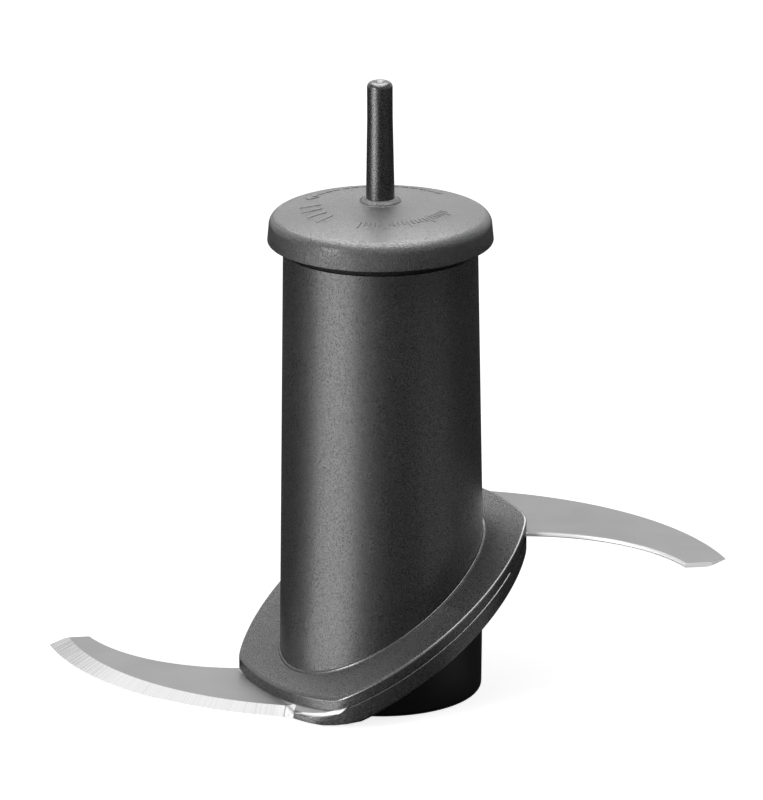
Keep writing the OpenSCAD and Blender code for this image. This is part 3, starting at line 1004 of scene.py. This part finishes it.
    def _spaced(self, curve: np.ndarray) -> np.ndarray:
        """Points of a fine curve about one step apart, with both ends kept.

        Args:
            curve: the fine curve's points.

        Returns:
            n x 2 array.
        """
        length = float(np.sum(np.hypot(*np.diff(curve, axis=0).T)))
        count = int(length / self.step)
        return curve[np.linspace(0, len(curve) - 1, count + 1).astype(int)]

    def heights(self, plan: np.ndarray) -> tuple[np.ndarray, np.ndarray]:
        """Top and bottom heights over plan points.

        The middle plane is slope times u, where u counts along the climb, clamped softly at both
        bends; thickness is measured square to it. A bevel falls evenly over its width to the land
        left at the cutting edge, on top of the lower wing and below the upper one.

        Args:
            plan: n x 2 array of plan points.

        Returns:
            n heights of the top and n of the bottom.
        """
        climb = heading(self.outline.tilt_az)
        u = plan[:, 0] * climb[0] + plan[:, 1] * climb[1]
        k, (start, end) = self.bend_soft, self.bend_at
        high, low = (u - end) / k, (start - u) / k
        clamped = u - k * np.logaddexp(0, high) + k * np.logaddexp(0, low)
        out = self._beyond(plan)
        clamped = clamped + out * (np.where(u > 0, end, start) - clamped)
        past = [1 / (1 + np.exp(-np.clip(x, -self.steep, self.steep))) for x in (high, low)]
        share = np.clip(1 - past[0] - past[1], 0, 1) * (1 - out)
        mid = self.mid_z + self.outline.slope * clamped
        half = 0.5 * self.thick * np.sqrt(1 + (self.outline.slope * share) ** 2)
        return mid + half - self.bevel(plan), mid - half + self.bevel(-plan)

    def _beyond(self, plan: np.ndarray) -> np.ndarray:
        """Mark the places behind each wing's root outside the collar, where the plate is level.

        Args:
            plan: n x 2 array of plan points.

        Returns:
            1 for level places and 0 elsewhere, with a soft step at the collar.
        """
        azimuth = np.degrees(np.arctan2(plan[:, 1], plan[:, 0])) % 180
        reach = np.hypot(*plan.T) - np.hypot(*self.outline.at(azimuth, 0).T)
        near = np.clip((reach + self.root_depth) / self.root_depth, 0, 1)
        behind = (azimuth > self.root_az[0]) | (azimuth < self.root_az[1])
        return np.where(behind, near * near * (3 - 2 * near), 0)

    def bevel(self, plan: np.ndarray) -> np.ndarray:
        """Depth ground away from the lower wing over plan points.

        Args:
            plan: n x 2 array of plan points.

        Returns:
            n depths in millimetres.
        """
        dx, dy = plan[:, 0] - self.edge_c[0], plan[:, 1] - self.edge_c[1]
        depth = np.clip(1 - (self.edge_r - np.hypot(dx, dy)) / self.grind_w, 0, 1)
        turn = np.degrees(np.arctan2(dy, dx))
        ground = (turn < -self.grind_end + self.same_deg) & (plan[:, 0] < 0)
        return np.where(ground, depth * (self.thick - self.land), 0)

    def _creases(self) -> list[np.ndarray]:
        """Plan lines along which the surfaces fold: bevels' inner arcs, their square ends, bends.

        Returns:
            One n x 2 array for each line.
        """
        along = heading(self.outline.tilt_az)
        across = np.array([-along[1], along[0]])
        fold_r = self.edge_r - self.grind_w
        reach = np.linspace(fold_r, self.edge_r, self.cut_steps)[:, None]
        span = np.linspace(-self.bend_half, self.bend_half, self.bend_line_steps)[:, None]
        lines = [bow(self.edge_c, fold_r, -self.grind_end, self.fold_end_deg, self.fold_steps)]
        for end in (-self.grind_end, self.grind_step - self.grind_end):
            lines.append(np.array(self.edge_c) + reach * heading(end))
        lines = [side * line for side in (1, -1) for line in lines]
        for bend in self.bend_at:
            for extra in (*(-e for e in self.bend_steps), *self.bend_steps):
                lines.append((bend + extra) * along + span * across)
        return lines

    def _sheet(self, outer: np.ndarray, hole: np.ndarray) -> tuple[np.ndarray, np.ndarray]:
        """Triangles of the plan region between outline and hole, folded along the creases.

        Creases end a margin inside the outline, and an even grid of points fills the region, so
        that the heights over it are followed closely.

        Args:
            outer: the outline's plan points, anticlockwise.
            hole: the plan points of the hole round the hub.

        Returns:
            Plan points, and triangles of point numbers that turn anticlockwise.
        """
        chains = [np.vstack([outer, outer[:1]]), np.vstack([hole, hole[:1]])]
        for line in self._creases():
            clear = self._clear(line, outer, self.margin).astype(int)
            starts, ends = np.flatnonzero(np.diff(clear) > 0) + 1, np.flatnonzero(np.diff(clear) < 0) + 1
            starts = np.r_[0, starts] if clear[0] else starts
            ends = np.r_[ends, len(line)] if clear[-1] else ends
            chains += [line[a:b] for a, b in zip(starts, ends) if b - a > 1]
        starts = np.cumsum([0] + [len(c) for c in chains])
        edges = np.concatenate([np.stack([np.arange(s, s + len(c) - 1), np.arange(s + 1, s + len(c))], -1)
                                for s, c in zip(starts, chains)])
        far = np.abs(outer).max()
        net = np.arange(-far, far, self.grid)
        filling = np.stack(np.meshgrid(net, net), -1).reshape(-1, 2)
        filling = filling[self._clear(filling, outer, 2 * self.margin)]
        flat = [Vector(p) for p in np.concatenate([*chains, filling]).tolist()]
        made = delaunay_2d_cdt(flat, edges.tolist(), [], 0, self.same_corner)
        points = np.array([tuple(p) for p in made[0]])
        triangles = np.array(made[2])
        centres = points[triangles].mean(1)
        kept = self._within(centres, outer) & (np.hypot(*centres.T) > self.hole_r - self.hole_slack)
        used, triangles = np.unique(triangles[kept], return_inverse=True)
        points, triangles = points[used], triangles.reshape(-1, 3)
        first, second, third = (points[triangles[:, i]] for i in range(3))
        flipped = np.cross(second - first, third - first) < 0
        triangles[flipped] = triangles[flipped][:, ::-1]
        return points, triangles

    def _clear(self, points: np.ndarray, loop: np.ndarray, margin: float) -> np.ndarray:
        """Whether points lie inside a loop and outside the hole, a margin from both.

        Args:
            points: n x 2 array of plan points.
            loop: the loop's plan points.
            margin: least distance from loop and hole.

        Returns:
            n truth values.
        """
        side = np.roll(loop, -1, 0) - loop
        offset = points[:, None] - loop
        share = np.clip((offset * side).sum(-1) / (side ** 2).sum(-1), 0, 1)
        nearest = np.sqrt(((offset - share[..., None] * side) ** 2).sum(-1)).min(1)
        return self._within(points, loop) & (nearest > margin) & (np.hypot(*points.T) > self.hole_r + margin)

    @staticmethod
    def _within(points: np.ndarray, loop: np.ndarray) -> np.ndarray:
        """Whether points lie inside a loop: a ray from each crosses it an odd number of times.

        Args:
            points: n x 2 array of plan points.
            loop: the loop's plan points.

        Returns:
            n truth values.
        """
        a, b = loop, np.roll(loop, -1, 0)
        px, py = points[:, :1], points[:, 1:]
        crosses = (a[None, :, 1] > py) != (b[None, :, 1] > py)
        rise = np.where(b[:, 1] == a[:, 1], 1.0, b[:, 1] - a[:, 1])
        at = a[:, 0] + (py - a[:, 1]) * (b[:, 0] - a[:, 0]) / rise
        return (crosses & (px < at)).sum(1) % 2 == 1

    @staticmethod
    def _outward(loop: np.ndarray) -> np.ndarray:
        """Unit normals of an anticlockwise loop.

        Args:
            loop: the loop's plan points.

        Returns:
            n x 2 array.
        """
        along = np.roll(loop, -1, 0) - np.roll(loop, 1, 0)
        normal = np.stack([along[:, 1], -along[:, 0]], -1)
        return normal / np.hypot(*normal.T)[:, None]

    def build(self) -> bpy.types.Object:
        """Join top sheet, bottom sheet, rounded outer wall and hole wall into one closed mesh.

        The wall is a profile of six points carried along the outline: at each point it leaves the
        top sheet one rounding inside the outline, turns down, and meets the bottom sheet again.

        Returns:
            The object.
        """
        half, roll = self.half_loop()
        loop, roll = np.concatenate([half, -half]), np.concatenate([roll, roll])
        normal = self._outward(loop)
        top, low = self.heights(loop)
        roll = np.minimum(roll, self.roll_share * (top - low))[:, None]
        under = np.minimum(roll, self.roll_under)
        top_plan, low_plan = loop - roll * normal, loop - under * normal
        k = self.roll_middle
        layers = [(top_plan, self.heights(top_plan)[0]),
                  (loop - k * roll * normal, top - k * roll[:, 0]),
                  (loop, top - roll[:, 0]),
                  (loop, low + under[:, 0]),
                  (loop - k * under * normal, low + k * under[:, 0]),
                  (low_plan, self.heights(low_plan)[1])]
        rows = [np.column_stack(layer) for layer in layers]
        wall_faces = grid_faces(len(rows), len(loop), False, True)[:, ::-1]
        hole = bow((0, 0), self.hole_r, 0, 360, self.hole_steps)[:-1]
        hole_rows = [np.column_stack([hole, z]) for z in self.heights(hole)]
        hole_faces = grid_faces(2, len(hole), False, True)
        top_points, top_faces = self._sheet(top_plan, hole)
        low_points, low_faces = self._sheet(low_plan, hole)
        blocks = [np.concatenate(rows), np.concatenate(hole_rows),
                  np.column_stack([top_points, self.heights(top_points)[0]]),
                  np.column_stack([low_points, self.heights(low_points)[1]])]
        starts = np.cumsum([0] + [len(b) for b in blocks])
        faces = [*(wall_faces + starts[0]).tolist(), *(hole_faces + starts[1]).tolist(),
                 *(top_faces + starts[2]).tolist(), *(low_faces[:, ::-1] + starts[3]).tolist()]
        bands = [Facet.EDGE.value] * 3 + [Facet.FACE.value] * 2
        finishes = np.concatenate([
            np.repeat(bands, len(loop)),
            np.full(len(hole_faces), Facet.EDGE.value),
            self._finish(top_points[top_faces].mean(1)),
            self._finish(-low_points[low_faces].mean(1))])
        return put_mesh("blade_plate_form", np.concatenate(blocks), faces, self.crease_deg, finishes)

    def _finish(self, centres: np.ndarray) -> np.ndarray:
        """Facet of each face from whether its middle is ground away."""
        return np.where(self.bevel(centres) > 0, Facet.GROUND.value, Facet.FACE.value)

    def dress(self) -> None:
        """Build the plate and stand it in for its CAD node."""
        finishes = [
            # The face's colour is the steel's own tone lowered by a painted dim reflection; the bevel's pale
            # colour is the steel's own tone raised by a painted reflection of a bright overhead light.
            RolledSteel("blade_face_painted_dim", colour=0.4, roughness=0.5, line_mm=0.12),
            GroundSteel("blade_bevel_painted_reflection", colour=0.87, roughness=0.25, line_mm=0.34),
            RolledSteel("blade_edge", colour=0.8, roughness=0.3, line_mm=0.08, length_mm=2.0, metallic=0.2)]
        materials = [finish.material() for finish in finishes]
        dress(self.build(), Slot.BLADE, *materials, replaces="blade_plate")


# Cap and pin


@dataclass
class HubCap:
    """Cap with rounded rim, low dome, pin boss and hidden spigot."""

    neck_z: float = 96.55
    neck_r: float = 20.16
    rim_z: float = 98.35
    rim_r: float = 23.66
    rim_lip: float = 0.4
    rim_lean: float = 0.3
    rim_round: float = 2.4
    dome_z: float = 104.3
    dome_rise: float = 2.7
    boss_r: float = 4.2
    boss_top_r: float = 3.35
    boss_z: float = 107.7
    boss_edge_z: float = 107.15
    boss_round: float = 0.25
    boss_fillet: float = 0.35
    neck_foot: float = 0.4
    spigot_z: float = 90.6
    spigot_r: float = 18.35
    spigot_wall: float = 2.6
    skin: float = 2.0
    post_r: float = 4.5
    post_z: float = 96.7
    bore_r: float = 2.6
    bore_z: float = 98.65
    seal_z: float = 93.55
    seal_groove_r: float = 16.78
    seal_half: float = 0.9
    boss_side_deg: float = 60.0
    boss_top_deg: float = 45.0
    cove_deg: float = 160.0
    rim_steps: int = 14
    dome_steps: int = 26
    fillet_steps: int = 6
    boss_side_steps: int = 5
    boss_top_steps: int = 4
    cove_steps: int = 8
    lip_steps: int = 5
    steps: int = 192
    crease_deg: float = 25.0

    @property
    def rim_centre_r(self) -> float:
        """Radius round which the rim's rounding turns."""
        return self.rim_r - self.rim_lean - self.rim_round

    def edge(self) -> tuple[float, float, float]:
        """Radius and height of the dome's edge, and how far the rim's rounding turns to reach it.

        Returns:
            Radius, height, and turn in degrees from the horizontal.
        """
        turn = math.pi / 2 - math.atan(2 * self.dome_rise / self.rim_centre_r)
        return (self.rim_centre_r + self.rim_round * math.cos(turn),
                self.dome_z - self.rim_round * (1 - math.sin(turn)), math.degrees(turn))

    def dome_height(self, r: np.ndarray) -> np.ndarray:
        """Height of the dome at a radius: its edge plus a parabola that peaks on the axis."""
        edge_r, edge_z, _ = self.edge()
        return edge_z + self.dome_rise * (1 - (r / edge_r) ** 2)

    def profile(self) -> np.ndarray:
        """Closed ring of radius and height, from the bore's floor over the hidden side to the dome.

        Returns:
            n x 2 array of radius and height.
        """
        edge_r, _, dome_deg = self.edge()
        rim_centre = (self.rim_centre_r, self.dome_z - self.rim_round)
        rim = bow(rim_centre, self.rim_round, 0, dome_deg, self.rim_steps)
        foot_r, c = self.boss_r + self.boss_fillet, self.boss_round
        r = np.linspace(edge_r, foot_r, self.dome_steps)[1:]
        dome = np.stack([r, self.dome_height(r)], -1)
        fillet_centre = (foot_r, dome[-1, 1] + self.boss_fillet)
        fillet = bow(fillet_centre, self.boss_fillet, 270, 180, self.fillet_steps)[1:]
        shoulder = np.concatenate([
            bow((self.boss_r - c, self.boss_edge_z - c), c, 0, self.boss_side_deg, self.boss_side_steps),
            bow((self.boss_top_r - c, self.boss_z - c), c, self.boss_top_deg, 90, self.boss_top_steps)])
        cavity_r, cavity_z = self.spigot_r - self.spigot_wall, self.dome_z - self.skin
        low, high = self.seal_z - self.seal_half, self.seal_z + self.seal_half
        inner = np.array([
            [0, self.post_z], [self.post_r, self.post_z], [self.post_r, cavity_z], [cavity_r, cavity_z],
            [cavity_r, self.spigot_z], [self.spigot_r, self.spigot_z], [self.spigot_r, low],
            [self.seal_groove_r, low], [self.seal_groove_r, high], [self.spigot_r, high],
            [self.spigot_r, self.neck_z], [self.neck_r - self.neck_foot, self.neck_z]])
        cove_centre = (self.neck_r + self.neck_foot, self.neck_z)
        cove = bow(cove_centre, self.rim_z - self.neck_z, self.cove_deg, 90, self.cove_steps)
        lip_centre = (self.rim_r - self.rim_lip, self.rim_z + self.rim_lip)
        lip = bow(lip_centre, self.rim_lip, -90, 0, self.lip_steps)
        bore = np.array([[self.bore_r, self.boss_z], [self.bore_r, self.bore_z], [0, self.bore_z]])
        return np.concatenate([inner, cove, lip, rim, dome, fillet, shoulder, bore])

    def dress(self, material: bpy.types.Material) -> None:
        """Build the cap and stand it in for its CAD node."""
        made = lathe("top_cap_form", self.profile(), self.steps, self.crease_deg)
        dress(made, Slot.CAP, material, replaces="top_cap")


@dataclass
class TurningMarks:
    """Raised marks on the dome: a dashed arc with an arrowhead, four bars and a plain scale.

    The arrow gives the direction in which the blade turns.
    """

    cap: HubCap
    lift: float = 0.14
    sunk: float = 0.1
    power: float = 0.4
    arc_r: float = 16.4
    arc_az: Pair = (42.0, 146.0)
    dash: Pair = (0.8, 0.34)
    head_turn: float = 7.0
    barb: Pair = (1.25, 0.28)
    barb_out: float = 0.75
    barb_deg: float = 40.0
    arc_dashes: int = 15
    bars_r: float = 14.6
    bars_az: Pair = (178.0, 217.0)
    bar: Pair = (2.3, 0.42)
    bars: int = 4
    scale_r: float = 13.8
    scale_az: Pair = (252.0, 342.0)
    scale_ticks: int = 22
    tick: Pair = (0.9, 0.24)
    long_each: int = 5
    long_half: float = 1.5
    long_out: float = 0.6
    round_steps: int = 20
    rise_steps: int = 9
    crease_deg: float = 50.0

    def _rows(self) -> np.ndarray:
        """One row per bar: radius, azimuth, turn against the radial direction, half length, half width.

        Returns:
            n x 5 array, in millimetres and degrees.
        """
        arc = np.linspace(*self.arc_az, self.arc_dashes)
        bars = np.linspace(*self.bars_az, self.bars)
        ticks = np.linspace(*self.scale_az, self.scale_ticks)
        long = np.arange(self.scale_ticks) % self.long_each == 0
        tick_half = np.where(long, self.long_half, self.tick[0])
        side = np.array([-1, 1])
        groups = [
            (self.arc_r, arc, 90, *self.dash),
            (self.bars_r, bars, 0, *self.bar),
            (self.scale_r + self.long_out * long, ticks, 0, tick_half, self.tick[1]),
            (self.arc_r + side * self.barb_out, self.arc_az[1] + self.head_turn,
             90 + side * self.barb_deg, *self.barb)]
        return np.concatenate([np.column_stack(np.broadcast_arrays(*group)) for group in groups])

    def build(self) -> bpy.types.Object:
        """Lay a rounded bar on the dome for each row.

        A bar is a superellipsoid: with c(a) = sign(cos a) |cos a|^e and s(a) alike from the sine,
        its points are (L c(v) c(u), W c(v) s(u), H s(v)), turned and moved to the bar's place and
        lifted by the dome's height under each point, so that the bar follows the dome.

        Returns:
            The object.
        """
        radius, azimuth, turned, length, width = (c[:, None, None] for c in self._rows().T)
        u = np.linspace(0, 2 * np.pi, self.round_steps, endpoint=False)[None, None, :]
        v = np.linspace(-np.pi / 2, np.pi / 2, self.rise_steps)[None, :, None]

        def flat(value: np.ndarray) -> np.ndarray:
            """The value with its size raised to the power and its sign kept."""
            return np.sign(np.round(value, 9)) * np.abs(value) ** self.power

        a = length * flat(np.cos(v)) * flat(np.cos(u))
        b = width * flat(np.cos(v)) * flat(np.sin(u))
        rise = flat(np.sin(v)) + 0 * u
        rise = np.where(rise > 0, self.lift, self.sunk) * rise
        way, place = np.radians(azimuth + turned), np.radians(azimuth)
        x = radius * np.cos(place) + a * np.cos(way) - b * np.sin(way)
        y = radius * np.sin(place) + a * np.sin(way) + b * np.cos(way)
        points = np.stack([x, y, self.cap.dome_height(np.hypot(x, y)) + rise], -1)
        bars, rows, columns = points.shape[:3]
        faces = grid_faces(rows, columns, False, True)
        faces = (faces[None] + np.arange(bars)[:, None, None] * rows * columns).reshape(-1, 4)
        return put_mesh("cap_marks", points.reshape(-1, 3), faces, self.crease_deg)

    def dress(self, material: bpy.types.Material) -> None:
        """Build the marks as a piece of the cap."""
        dress(self.build(), Slot.CAP, material)


@dataclass
class CentringPin:
    """Tapered pin with a straight land, a rounded tip and a dimple."""

    shank_z: float = 98.7
    shank_r: float = 2.5
    base_z: float = 107.75
    root_r: float = 3.0
    land_r: float = 2.68
    land_z: float = 124.7
    top_z: float = 132.7
    tip_round: float = 1.15
    dimple_r: float = 1.1
    dimple: float = 0.4
    chamfer: float = 0.3
    taper_steps: int = 12
    tip_steps: int = 10
    dimple_steps: int = 9
    steps: int = 96
    crease_deg: float = 40.0

    def profile(self) -> np.ndarray:
        """Radius and height from the shank's foot over the taper to the dimple.

        Returns:
            n x 2 array of radius and height.
        """
        taper = np.linspace((self.root_r, self.base_z), (self.land_r, self.land_z), self.taper_steps)
        tip_centre = (self.land_r - self.tip_round, self.top_z - self.tip_round)
        tip = bow(tip_centre, self.tip_round, 0, 90, self.tip_steps)
        r = np.linspace(self.dimple_r, 0, self.dimple_steps)
        cup = np.stack([r, self.top_z - self.dimple * (1 - (r / self.dimple_r) ** 2)], -1)
        foot = np.array([[0, self.shank_z], [self.shank_r - self.chamfer, self.shank_z],
                         [self.shank_r, self.shank_z + self.chamfer], [self.shank_r, self.base_z]])
        return np.concatenate([foot, taper, tip, cup])

    def dress(self, material: bpy.types.Material) -> None:
        """Build the pin and stand it in for its CAD node."""
        made = lathe("centring_pin_form", self.profile(), self.steps, self.crease_deg)
        dress(made, Slot.CAP, material, replaces="centring_pin")


# Studio


@dataclass(frozen=True)
class Lamp:
    """A soft rectangular lamp that looks at the object."""

    name: str
    azimuth: float
    elevation: float
    distance: float
    size: Pair
    power: float
    diffuse: float = 1.0
    spares_steel: bool = False

    def place(self, aim: Vector, plastics: bpy.types.Collection) -> None:
        """Set the lamp up round the point it looks at.

        Args:
            aim: the point.
            plastics: the pieces that a lamp lights which spares the steel and the floor.
        """
        az, el = math.radians(self.azimuth), math.radians(self.elevation)
        away = Vector((math.cos(el) * math.cos(az), math.cos(el) * math.sin(az), math.sin(el)))
        data = bpy.data.lights.new(self.name, "AREA")
        data.shape = "RECTANGLE"
        data.size, data.size_y = self.size
        data.energy = self.power
        data.diffuse_factor = self.diffuse
        lamp = bpy.data.objects.new(self.name, data)
        if self.spares_steel:
            lamp.light_linking.receiver_collection = plastics
        lamp.location = aim + away * self.distance
        lamp.rotation_euler = away.to_track_quat("Z", "Y").to_euler()
        bpy.context.scene.collection.objects.link(lamp)
        LOG.info("lamp %s: %.1f W", self.name, self.power)


@dataclass(frozen=True)
class FloorCard:
    """A flat card on the floor, in the shape of a ring or a wedge, that only reflections show."""

    name: str
    from_az: float
    to_az: float
    reach_mm: Pair
    z_mm: float
    glow: float
    step_deg: float = 7.0
    least_steps: int = 8

    def build(self) -> None:
        """Carry the card's width round the hub axis and give it its glow."""
        steps = max(self.least_steps, int((self.to_az - self.from_az) / self.step_deg))
        rims = [bow((0, 0), reach, self.from_az, self.to_az, steps) for reach in self.reach_mm]
        plan = np.concatenate(rims)
        points = np.column_stack([plan, np.full(len(plan), self.z_mm)])
        card = put_mesh(self.name, points, grid_faces(2, steps + 1, False, False)[:, ::-1])
        card.data.materials.append(CardGlow(self.name, self.glow).material())
        card.visible_camera = card.visible_diffuse = card.visible_shadow = card.visible_transmission = False


@dataclass
class Studio:
    """Pale floor, white surroundings and soft lamps."""

    aim: tuple[float, float, float] = (0.0, 0.0, 0.06)
    half_mm: float = 3000.0
    ambient: float = 0.35
    spared: tuple[str, ...] = ("blade_plate", "studio_floor")
    lamps: tuple[Lamp, ...] = (
        Lamp("strip_left", azimuth=-141, elevation=6, distance=0.8, size=(0.24, 0.36), power=7.0,
             diffuse=0.35),
        Lamp("box_behind", azimuth=95, elevation=80, distance=1.2, size=(1.2, 1.9), power=80.0,
             diffuse=0.3, spares_steel=True))
    cards: tuple[FloorCard, ...] = (
        FloorCard("dark_card", from_az=0, to_az=360, reach_mm=(0.05, 1600), z_mm=0.4, glow=0.0),
        FloorCard("pale_card", from_az=-167, to_az=-119, reach_mm=(31.5, 900), z_mm=0.6, glow=5.6),
        FloorCard("side_card", from_az=-48, to_az=-8, reach_mm=(31.5, 300), z_mm=0.6, glow=0.8))

    def _surround(self) -> None:
        """White world that lights the object less than it shows."""
        world = bpy.data.worlds.new("studio")
        bpy.context.scene.world = world
        g = Graph(world)
        strength = self.ambient + (1 - self.ambient) * g.white_rays()
        light = g.add("ShaderNodeBackground", {}, {"Color": WHITE, "Strength": strength})
        g.close("ShaderNodeOutputWorld", light)

    def _floor(self) -> None:
        """Flat square of pale paper."""
        w = self.half_mm
        corners = np.array([[-w, -w, 0], [w, -w, 0], [w, w, 0], [-w, w, 0]])
        floor = put_mesh("studio_floor", corners, [[0, 1, 2, 3]])
        floor.data.materials.append(FloorPaper("floor_paper").material())

    def build(self) -> None:
        """World, floor, cards and lamps; a lamp that spares the steel lights only the plastics."""
        self._surround()
        self._floor()
        for card in self.cards:
            card.build()
        plastics = bpy.data.collections.new("plastics")
        for piece in bpy.context.scene.objects:
            if piece.type == "MESH" and not piece.name.startswith(self.spared):
                plastics.objects.link(piece)
        for lamp in self.lamps:
            lamp.place(Vector(self.aim), plastics)
        bpy.context.scene.view_settings.view_transform = "Standard"


@dataclass
class StudioCamera:
    """Long lens at the photograph's viewing angle."""

    target: tuple[float, float, float] = (0.06 * MM, 0.0, 63.4 * MM)
    elevation: float = 17.53
    roll: float = 0.253
    distance: float = 1.68
    lens: float = 360.0
    sensor: float = 36.0
    clip: Pair = (0.05, 20.0)

    def build(self) -> None:
        """Make the camera and use it."""
        el = math.radians(self.elevation)
        back = Vector((0, -math.cos(el), math.sin(el)))
        data = bpy.data.cameras.new("studio_camera")
        data.lens = self.lens
        data.sensor_width = self.sensor
        data.clip_start, data.clip_end = self.clip
        made = bpy.data.objects.new("studio_camera", data)
        turn = back.to_track_quat("Z", "Y").to_matrix() @ Matrix.Rotation(math.radians(-self.roll), 3, "Z")
        made.matrix_world = Matrix.Translation(Vector(self.target) + back * self.distance) @ turn.to_4x4()
        bpy.context.scene.collection.objects.link(made)
        bpy.context.scene.camera = made
        LOG.info("camera: %.0f mm lens, %.2f m away", self.lens, self.distance)


# Order of work


def main() -> None:
    """Build the pieces in order, dress them, and set up the studio."""
    logging.basicConfig(level=logging.INFO, format="%(name)s: %(message)s")
    hub = MouldedPlastic("hub_grain", grey(0.006), roughness=0.3, shine=0.5, grain_depth_mm=0.14).material()
    hub_edge = MouldedPlastic("hub_edge", grey(0.01), roughness=0.27, shine=0.8, grain_depth_mm=0.012,
                              gleam=0.2).material()
    cap = MouldedPlastic("cap_grain", grey(0.008), roughness=0.34, shine=0.55).material()
    pin = MouldedPlastic("pin_grain", grey(0.003), roughness=0.28, shine=0.55, grain_depth_mm=0.08).material()
    sleeve = SmoothPlastic("sleeve_smooth", (0.72, 0.72, 0.7), roughness=0.45).material()
    turned = TurnedSteel("turned_steel", 0.55, roughness=0.3, line_mm=0.2, line_depth_mm=0.01).material()
    kept = {
        "tower_shell": hub,
        "foot_sleeve": SmoothPlastic("foot_smooth", grey(0.006), roughness=0.5, shine=0.12).material(),
        "cap_seal": SmoothPlastic("seal_rubber", grey(0.02), roughness=0.7, shine=0.2).material(),
        "drive_sleeve": sleeve,
        "sleeve_hanger": sleeve,
        "spindle_bush": SmoothPlastic("bush_smooth", (0.85, 0.83, 0.76), roughness=0.3).material(),
        "drive_socket": turned,
        "retaining_ring": turned,
        "clamp_studs": turned,
    }
    for node, material in kept.items():
        paint(node, material)
    for half in Half:
        ClampCollar(half).dress(hub, hub_edge)
    BladePlate().dress()
    hub_cap = HubCap()
    hub_cap.dress(cap)
    TurningMarks(hub_cap).dress(cap)
    CentringPin().dress(pin)
    Studio().build()
    StudioCamera().build()


if __name__ == "__main__":
    main()
